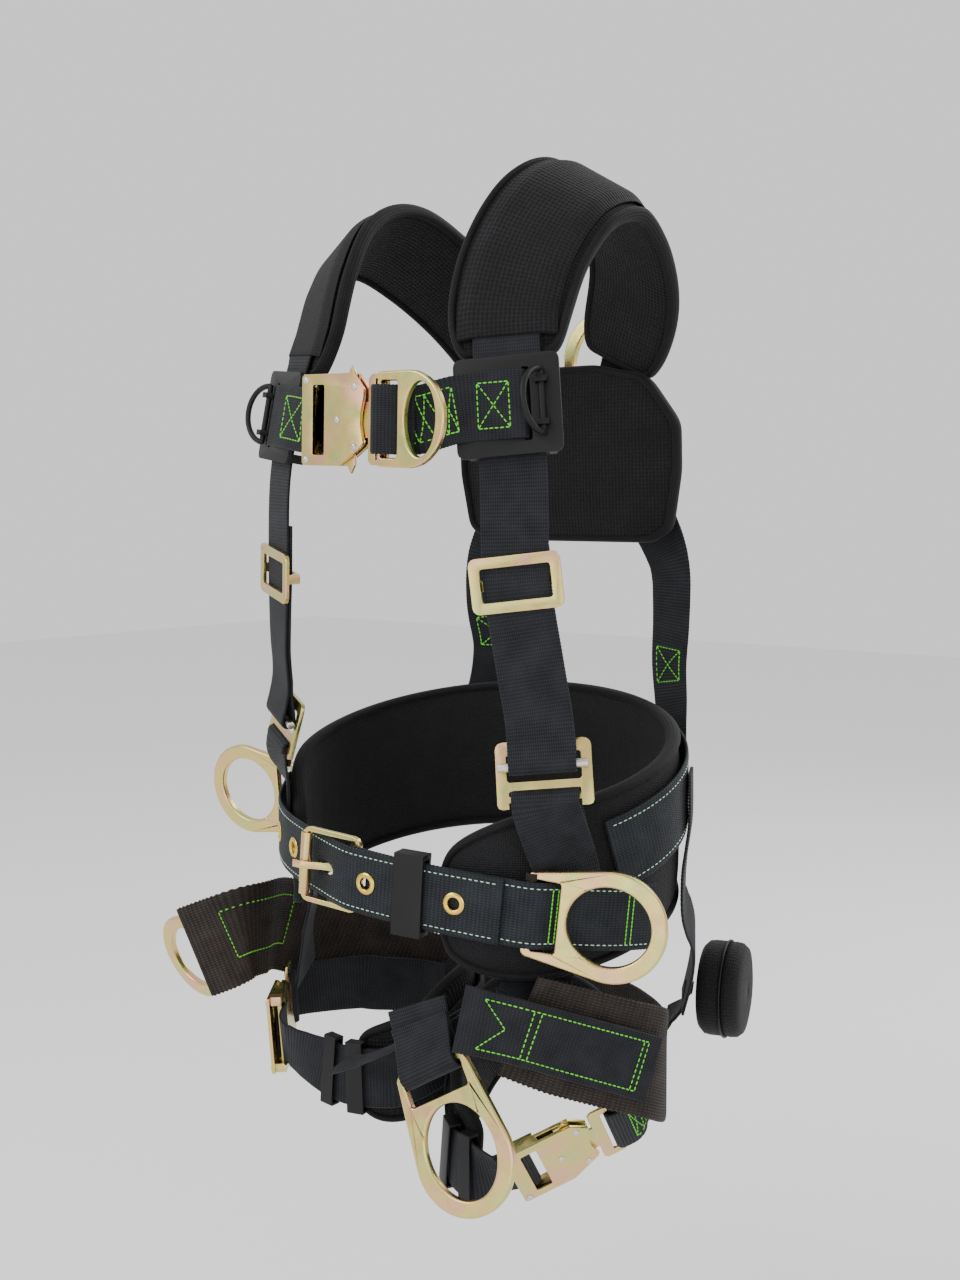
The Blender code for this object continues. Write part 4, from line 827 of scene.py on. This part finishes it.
def paddedPiece(name, point, across, outward, low, high, thickness, finish, stands, seams=()):
    # a crowned section carried along a line, from low to high across it, then inflated between its seams
    u, v = padLoop[:, 0], padLoop[:, 1]
    middle, half = (low + high)[:, None] / 2, (high - low)[:, None] / 2
    wide = middle + half * u
    raised = v * thickness / 2 * (1 + 0 * wide)
    points = sweep(point, across, outward, wide, raised)
    steps = np.concatenate([[0.0], np.cumsum(np.linalg.norm(np.diff(point, axis=0), axis=1))])
    uv = clothUv(steps[:, None], wide)
    rows, columns = wide.shape
    piece = addPiece(name, points.reshape(-1, 3), ringFaces(rows, columns), finish, uv=uv, stands=stands)
    held = np.abs(u) > pad["edge"]
    for place in seams:
        held |= np.abs(np.abs(u) - place) < pad["seamBand"]
    held = np.broadcast_to(held, wide.shape).copy()
    held[[0, 1, -2, -1]] = True
    inflate(piece, np.nonzero(held.ravel())[0])
    smoother = piece.modifiers.new("smooth", "SUBSURF")
    smoother.levels = smoother.render_levels = 1
    return piece


def inflate(piece, held):
    # cloth under pressure with its seams held; how far a point moves is capped
    group = piece.vertex_groups.new(name="seams")
    group.add([int(i) for i in held], 1.0, "REPLACE")
    cloth = piece.modifiers.new("cloth", "CLOTH")
    cloth.settings.use_pressure = True
    cloth.settings.uniform_pressure_force = pad["pressure"]
    cloth.settings.effector_weights.gravity = 0.0
    cloth.settings.vertex_group_mass = "seams"
    for number in range(1, pad["frames"] + 1):
        bpy.context.scene.frame_set(number)
    view = bpy.context.evaluated_depsgraph_get()
    swollen = piece.evaluated_get(view).data
    count = len(piece.data.vertices)
    rest = np.empty(count * 3, np.float32)
    after = np.empty(count * 3, np.float32)
    piece.data.vertices.foreach_get("co", rest)
    swollen.vertices.foreach_get("co", after)
    shift = (after - rest).reshape(-1, 3)
    length = np.linalg.norm(shift, axis=1, keepdims=True)
    shift *= np.minimum(1.0, pad["cap"] * 0.001 / np.maximum(length, 1e-9))
    piece.modifiers.remove(cloth)
    piece.data.vertices.foreach_set("co", (rest.reshape(-1, 3) + shift).ravel())
    piece.data.update()
    bpy.context.scene.frame_set(1)


def bindingTape(name, loop, facing, half):
    # folded tape round a pad's edge: an oval section carried round the closed outline
    count = max(24, int(np.sum(np.linalg.norm(np.roll(loop, -1, 0) - loop, axis=1)) / 3.0))
    wrapped = np.vstack([loop, loop[:1]])
    steps = np.concatenate([[0.0], np.cumsum(np.linalg.norm(np.diff(wrapped, axis=0), axis=1))])
    at = np.linspace(0, steps[-1], count, endpoint=False)
    turnedTo = np.vstack([facing, facing[:1]])
    line = np.stack([np.interp(at, steps, wrapped[:, k]) for k in range(3)], -1)
    normal = np.stack([np.interp(at, steps, turnedTo[:, k]) for k in range(3)], -1)
    for _ in range(3):
        line = (np.roll(line, 1, 0) + 2 * line + np.roll(line, -1, 0)) / 4
    travel = unit(np.roll(line, -1, 0) - np.roll(line, 1, 0))
    across = unit(np.cross(travel, normal))
    outward = np.cross(across, travel)
    angle = 2 * np.pi * np.arange(16) / 16
    u, v = half[0] * np.cos(angle), half[1] * np.sin(angle)
    grid = sweep(line, across, outward, u[None], v[None])
    uv = clothUv(at[:, None], angle * 5.0)
    addPiece(name, grid.reshape(-1, 3), ringFaces(count, 16, True), "binding", uv=uv)


def boundPad(name, line, low, high, thickness, finish, seams=()):
    paddedPiece(name + "_shown", line["point"], line["across"], line["outward"], low, high, thickness,
                finish, (name,), seams)
    edges = [line["point"] + line["across"] * (value[:, None]) for value in (low * 0.985, high * 0.985)]
    loop = np.vstack([edges[0], edges[1][::-1]])
    facing = np.vstack([line["outward"], line["outward"][::-1]])
    bindingTape(name + "_binding", loop, facing, (3.2, thickness / 2 + 0.4))


def endsOf(line):
    share = line["s"] / line["s"][-1]
    return np.minimum(share, 1 - share)


def buildPads():
    for word, side in (("left", 1), ("right", -1)):
        rows = shoulderLine(side)[9:17]
        rows[:, :3] -= rows[:, 3:] * 7.7
        line = carried(smoothLine(rows, 12.0), pad["spacing"])
        half = (82.0 - 22.0 * np.exp(-endsOf(line) * 22.0)) / 2
        boundPad("shoulder_pad_" + word, line, -half, half, 10.0, "mesh", (0.6,))
        buildCover("shoulder_cover_" + word, shoulderLine(side)[9:17], "mesh" if side > 0 else "ballistic")
        rows = np.array([legStation(side, a, -9.0) for a in range(-176, -15, 10)])
        line = carried(smoothLine(rows, 20.0), pad["spacing"])
        half = (74.0 - 24.0 * np.exp(-endsOf(line) * 20.0)) / 2
        boundPad("leg_pad_" + word, line, -half, half, 8.0, "mesh", (0.5,))
    angle = np.linspace(waistPad["start"], waistPad["end"], waistPad["rows"])
    rows = np.array([waistStation(a, waistPad["offset"], 0.0) for a in angle])
    inside = np.minimum(angle - waistPad["start"], waistPad["end"] - angle)
    tip = 1.0 - np.maximum(0.0, 1.0 - inside / waistPad["taper"]) ** 2
    away = np.where(angle < 180, angle, 360 - angle)
    centre = -36.0 + 70.0 * (0.5 - 0.5 * np.cos(np.radians(away)))
    half = 24.0 + 34.0 * np.sqrt(tip)
    line = {"point": rows[:, :3], "across": np.tile(upAxis, (len(rows), 1)), "outward": rows[:, 3:]}
    boundPad("waist_pad", line, centre - half, centre + half * 0.98, 10.0, "ballistic", (0.5,))
    back = placement((0, 112, 270), (1, 0, 0), (0, 1, 0.05))
    y = np.linspace(dorsalPad["heights"][0], dorsalPad["heights"][-1], dorsalPad["rows"])
    half = np.interp(y, dorsalPad["heights"], dorsalPad["halfWidths"])
    point = moved(back, np.stack([0 * y, y, 0 * y], -1))
    line = {"point": point, "across": np.tile(turned(back, (1, 0, 0)), (dorsalPad["rows"], 1)),
            "outward": np.tile(turned(back, (0, 0, 1)), (dorsalPad["rows"], 1))}
    boundPad("dorsal_pad", line, -half, half, 10.0, "mesh", (0.35, 0.7))


def buildCover(name, rows, finish):
    # the sleeve that hides the shoulder web on its pad: flat over the web, down to the pad beside it
    line = carried(smoothLine(rows, 12.0), 3.0)
    keep = (line["s"] > 8) & (line["s"] < line["s"][-1] - 10)
    u = np.linspace(-34, 34, 35)
    rise = 2.3 - 3.6 * np.clip((np.abs(u) - 23.0) / 9.0, 0, 1) ** 1.5
    loop = np.concatenate([u, u[::-1]])
    lift = np.concatenate([rise, rise[::-1] - 0.8])
    point, across, outward = (line[k][keep] for k in ("point", "across", "outward"))
    grid = sweep(point, across, outward, loop[None], lift[None])
    uv = clothUv(line["s"][keep][:, None], loop)
    addPiece(name, grid.reshape(-1, 3), ringFaces(len(point), len(loop)), finish, uv=uv)


thread = {"pitch": 3.6, "length": 2.9, "radius": 0.5, "lift": 0.05}


def threadRow(name, place, along, facing, length, radius, finish):
    # one short spindle of thread per place: six-sided rings, thickest in the middle
    turn = 2 * np.pi * np.arange(6) / 6
    body = [(-0.5, 0.15), (-0.3, 0.9), (0.0, 1.0), (0.3, 0.9), (0.5, 0.15)]
    spindle = np.array([(t * length, r * radius * math.cos(a), r * radius * math.sin(a))
                        for t, r in body for a in turn])
    along = unit(along)
    side = unit(np.cross(facing, along))
    up = np.cross(along, side)
    grid = place[:, None] + along[:, None] * spindle[None, :, :1] + side[:, None] * spindle[None, :, 1:2]
    grid = grid + up[:, None] * spindle[None, :, 2:]
    faces = ringFaces(5, 6)
    many = (faces[None] + (np.arange(len(place)) * len(spindle))[:, None, None]).reshape(-1, 4)
    addPiece(name, grid.reshape(-1, 3), many, finish)


def onStrap(name, s, w, side):
    # a strap's own (distance along, distance across) to places on its outer or inner face
    strap = straps[name]
    fields = [np.stack([np.interp(s, strap["s"], strap[key][:, k]) for k in range(3)], -1)
              for key in ("point", "across", "outward")]
    facing = fields[2] * side
    return fields[0] + fields[1] * np.asarray(w)[:, None] + facing * (strap["top"] + thread["lift"]), facing


def seam(label, strap, lines, finish="lime", pitch=thread["pitch"], length=thread["length"],
         radius=thread["radius"], side=1):
    # straight runs of stitches between neighbouring (s, w) corners of every line
    starts, ends = [], []
    for line in lines:
        corners = np.array(line, float)
        for a, b in zip(corners[:-1], corners[1:]):
            count = max(1, int(round(np.linalg.norm(b - a) / pitch)))
            share = (np.arange(count) + 0.5) / count
            middle = a + (b - a) * share[:, None]
            step = unit(b - a) * length / 2
            starts.append(middle - step)
            ends.append(middle + step)
    starts, ends = np.vstack(starts), np.vstack(ends)
    first, facing = onStrap(strap, starts[:, 0], starts[:, 1], side)
    last, _ = onStrap(strap, ends[:, 0], ends[:, 1], side)
    threadRow(label, (first + last) / 2, last - first, facing, length, radius, finish)


def boxLines(s0, s1, w0, w1, style="cross"):
    outline = [(s0, w0), (s1, w0), (s1, w1), (s0, w1), (s0, w0)]
    if style == "cross":
        return [outline, [(s0, w0), (s1, w1)], [(s0, w1), (s1, w0)]]
    if style == "zigzag":
        peaks = np.linspace(s0, s1, 5)
        return [outline, [(s, w0 if k % 2 else w1) for k, s in enumerate(peaks)],
                [(s, w1 if k % 2 else w0) for k, s in enumerate(peaks)]]
    return [outline]


def buildStitches():
    for name, edge in (("belt_tongue_web", 18.5), ("belt_rear_web", 20.5), ("belt_buckle_web", 18.5)):
        end = straps[name]["s"][-1] - (34 if name == "belt_buckle_web" else 4)
        seam(name + "_edge_stitching", name, [[(4, w), (end, w)] for w in (-edge, edge)], "pale", 4.2, 2.8, 0.4)
    seam("chest_left_box_stitching", "chest_web_left", boxLines(48, 69, -15, 15))
    seam("chest_left_zigzag_stitching", "chest_web_left", boxLines(84, 118, -15, 15, "zigzag"))
    seam("chest_right_zigzag_stitching", "chest_web_right", boxLines(70, 104, -15, 15))
    rails = [[(11, w), (131, w)] for w in (-17, 17)]
    bars = [[(s, -17), (s, 17)] for s in (11, 15, 94, 99)]
    seam("seat_left_stitching", "seat_web_left", rails + bars + [[(131, -17), (114, 0), (131, 17)]])
    bars = [[(s, -18.5), (s, 18.5)] for s in (20, 24, 76, 80)]
    seam("belt_left_bar_stitching", "belt_buckle_web", bars, pitch=2.8)
    seam("hip_right_box_stitching", "hip_web", boxLines(602, 676, -24, 16, "plain"), side=-1)
    seam("leg_left_zigzag_stitching", "leg_web_left", boxLines(42, 68, -16, 16, "zigzag"))
    seam("leg_right_zigzag_stitching", "leg_web_right", boxLines(32, 56, -16, 16, "zigzag"))
    for word in ("left", "right"):
        for label, side in (("outer", 1), ("inner", -1)):
            seam("back_box_stitching_%s_%s" % (word, label), "shoulder_web_" + word,
                 boxLines(96, 122, -15, 15), side=side)
    bars = [[(s, -15), (s, 15)] for s in (150, 151.2, 160, 161.2, 170, 171.2)]
    seam("pouch_bar_stitching", "pouch_strap", bars, "white", 1.6, 1.6, 0.5)


def buildPouch():
    matrix = placement((132, 116, -134), (0, 0, 1), (0.95, 0.3, 0.05))
    shell = np.array([(0.01, -3), (24, -3), (32, -2), (35.4, 1.5), (36, 6), (36, 14),
                      (35.6, 16.6), (34, 17), (0.01, 17)])
    lid = np.array([(0.01, 17.4), (34, 17.4), (35.6, 18), (36, 21), (35.4, 26), (32.5, 29.5), (25, 31),
                    (12, 31.4), (0.01, 31.4)])
    revolved("relief_pouch_shown", shell, matrix, "ballistic", mainBody, ("relief_pouch",), 64)
    revolved("relief_pouch_lid_shown", lid, matrix, "ballistic", "relief_pouch_lid", ("relief_pouch_lid",), 64)
    teeth = np.array([(35.9, 15.2), (37.2, 15.6), (37.4, 16.3), (37.2, 17.0), (35.9, 17.2)])
    revolved("relief_pouch_zip", teeth, matrix, "plastic", steps=64)
    rows = [(102, 106, -164, 0.6, 0.5, -0.3), (116, 98, -152, 0.8, 0.2, -0.2), (127, 94, -138, 0.93, 0.3, 0),
            (127, 98, -126, 0.95, 0.3, 0.05)]
    webbing("pouch_web", smoothLine(faced(rows), 12.0), width=25.0)
    rows = [waistStation(112, 1.6, 46), waistStation(112, 1.6, 8), waistStation(112, -2.0, -20),
            waistStation(112, -2.6, -48), *faced([(146, 70, -80, 0.85, 0.5, 0), (136, 84, -112, 0.85, 0.5, 0),
            (127, 88, -140, 0.85, 0.5, 0)])]
    webbing("pouch_strap", smoothLine(rows, 12.0), width=38.0, extra=True)


buildShoulders()
print("shoulders")
buildChest()
buildQuick("chest", chest, ("upper", "lower"))
print("chest")
buildTorsoLower()
buildBelt()
print("belt")
buildHips()
buildRisers()
buildLegs()
print("hips and legs")
refined("dorsal_plate", "plastic", 0.8)
buildDees()
print("dees")
buildPads()
print("pads")
buildPouch()
buildStitches()
print("stitches")


studio = {"floorDrop": 0.22, "floorReach": 6.0, "worldStrength": 1.0,
          "lights": (("key", (-0.9, -2.0, 1.5), 1.6, 34.0), ("fill", (2.0, -1.4, 0.5), 1.4, 16.0),
                     ("rim", (0.6, 1.8, 1.5), 1.4, 30.0), ("low", (0.2, -1.8, -0.1), 1.0, 5.0))}
view = {"place": (0.708, -0.906, 0.240), "azimuth": 38.0, "pitch": 5.2, "lens": 43.3}


def buildStudio():
    low = cadLow.z - studio["floorDrop"]
    reach = studio["floorReach"]
    data = bpy.data.meshes.new("floor")
    corners = [(-reach, -reach, low), (reach, -reach, low), (reach, reach, low), (-reach, reach, low)]
    data.from_pydata(corners, [], [(0, 1, 2, 3)])
    material, _, shader = newMaterial("pale_floor")
    shader.inputs["Base Color"].default_value = linear("F2F2F2")
    shader.inputs["Roughness"].default_value = 0.85
    data.materials.append(material)
    floor = bpy.data.objects.new("floor", data)
    bpy.context.scene.collection.objects.link(floor)
    world = bpy.data.worlds.new("studio")
    world.use_nodes = True
    world.node_tree.nodes["Background"].inputs[0].default_value = linear("FFFFFF")
    world.node_tree.nodes["Background"].inputs[1].default_value = studio["worldStrength"]
    bpy.context.scene.world = world
    for name, place, size, power in studio["lights"]:
        lamp = bpy.data.lights.new(name, "AREA")
        lamp.size = size
        lamp.energy = power
        holder = bpy.data.objects.new(name, lamp)
        holder.location = place
        holder.rotation_mode = "QUATERNION"
        holder.rotation_quaternion = (Vector((0, 0, 0.05)) - Vector(place)).to_track_quat("-Z", "Y")
        bpy.context.scene.collection.objects.link(holder)


def buildCamera():
    turn, dip = math.radians(view["azimuth"]), math.radians(view["pitch"])
    ahead = Vector((-math.sin(turn) * math.cos(dip), math.cos(turn) * math.cos(dip), -math.sin(dip)))
    lens = bpy.data.cameras.new("camera")
    lens.lens = view["lens"]
    lens.sensor_width = 36.0
    lens.clip_start = 0.01
    camera = bpy.data.objects.new("camera", lens)
    camera.location = view["place"]
    camera.rotation_mode = "QUATERNION"
    camera.rotation_quaternion = ahead.to_track_quat("-Z", "Y")
    bpy.context.scene.collection.objects.link(camera)
    bpy.context.scene.camera = camera


buildStudio()
buildCamera()
print("studio")
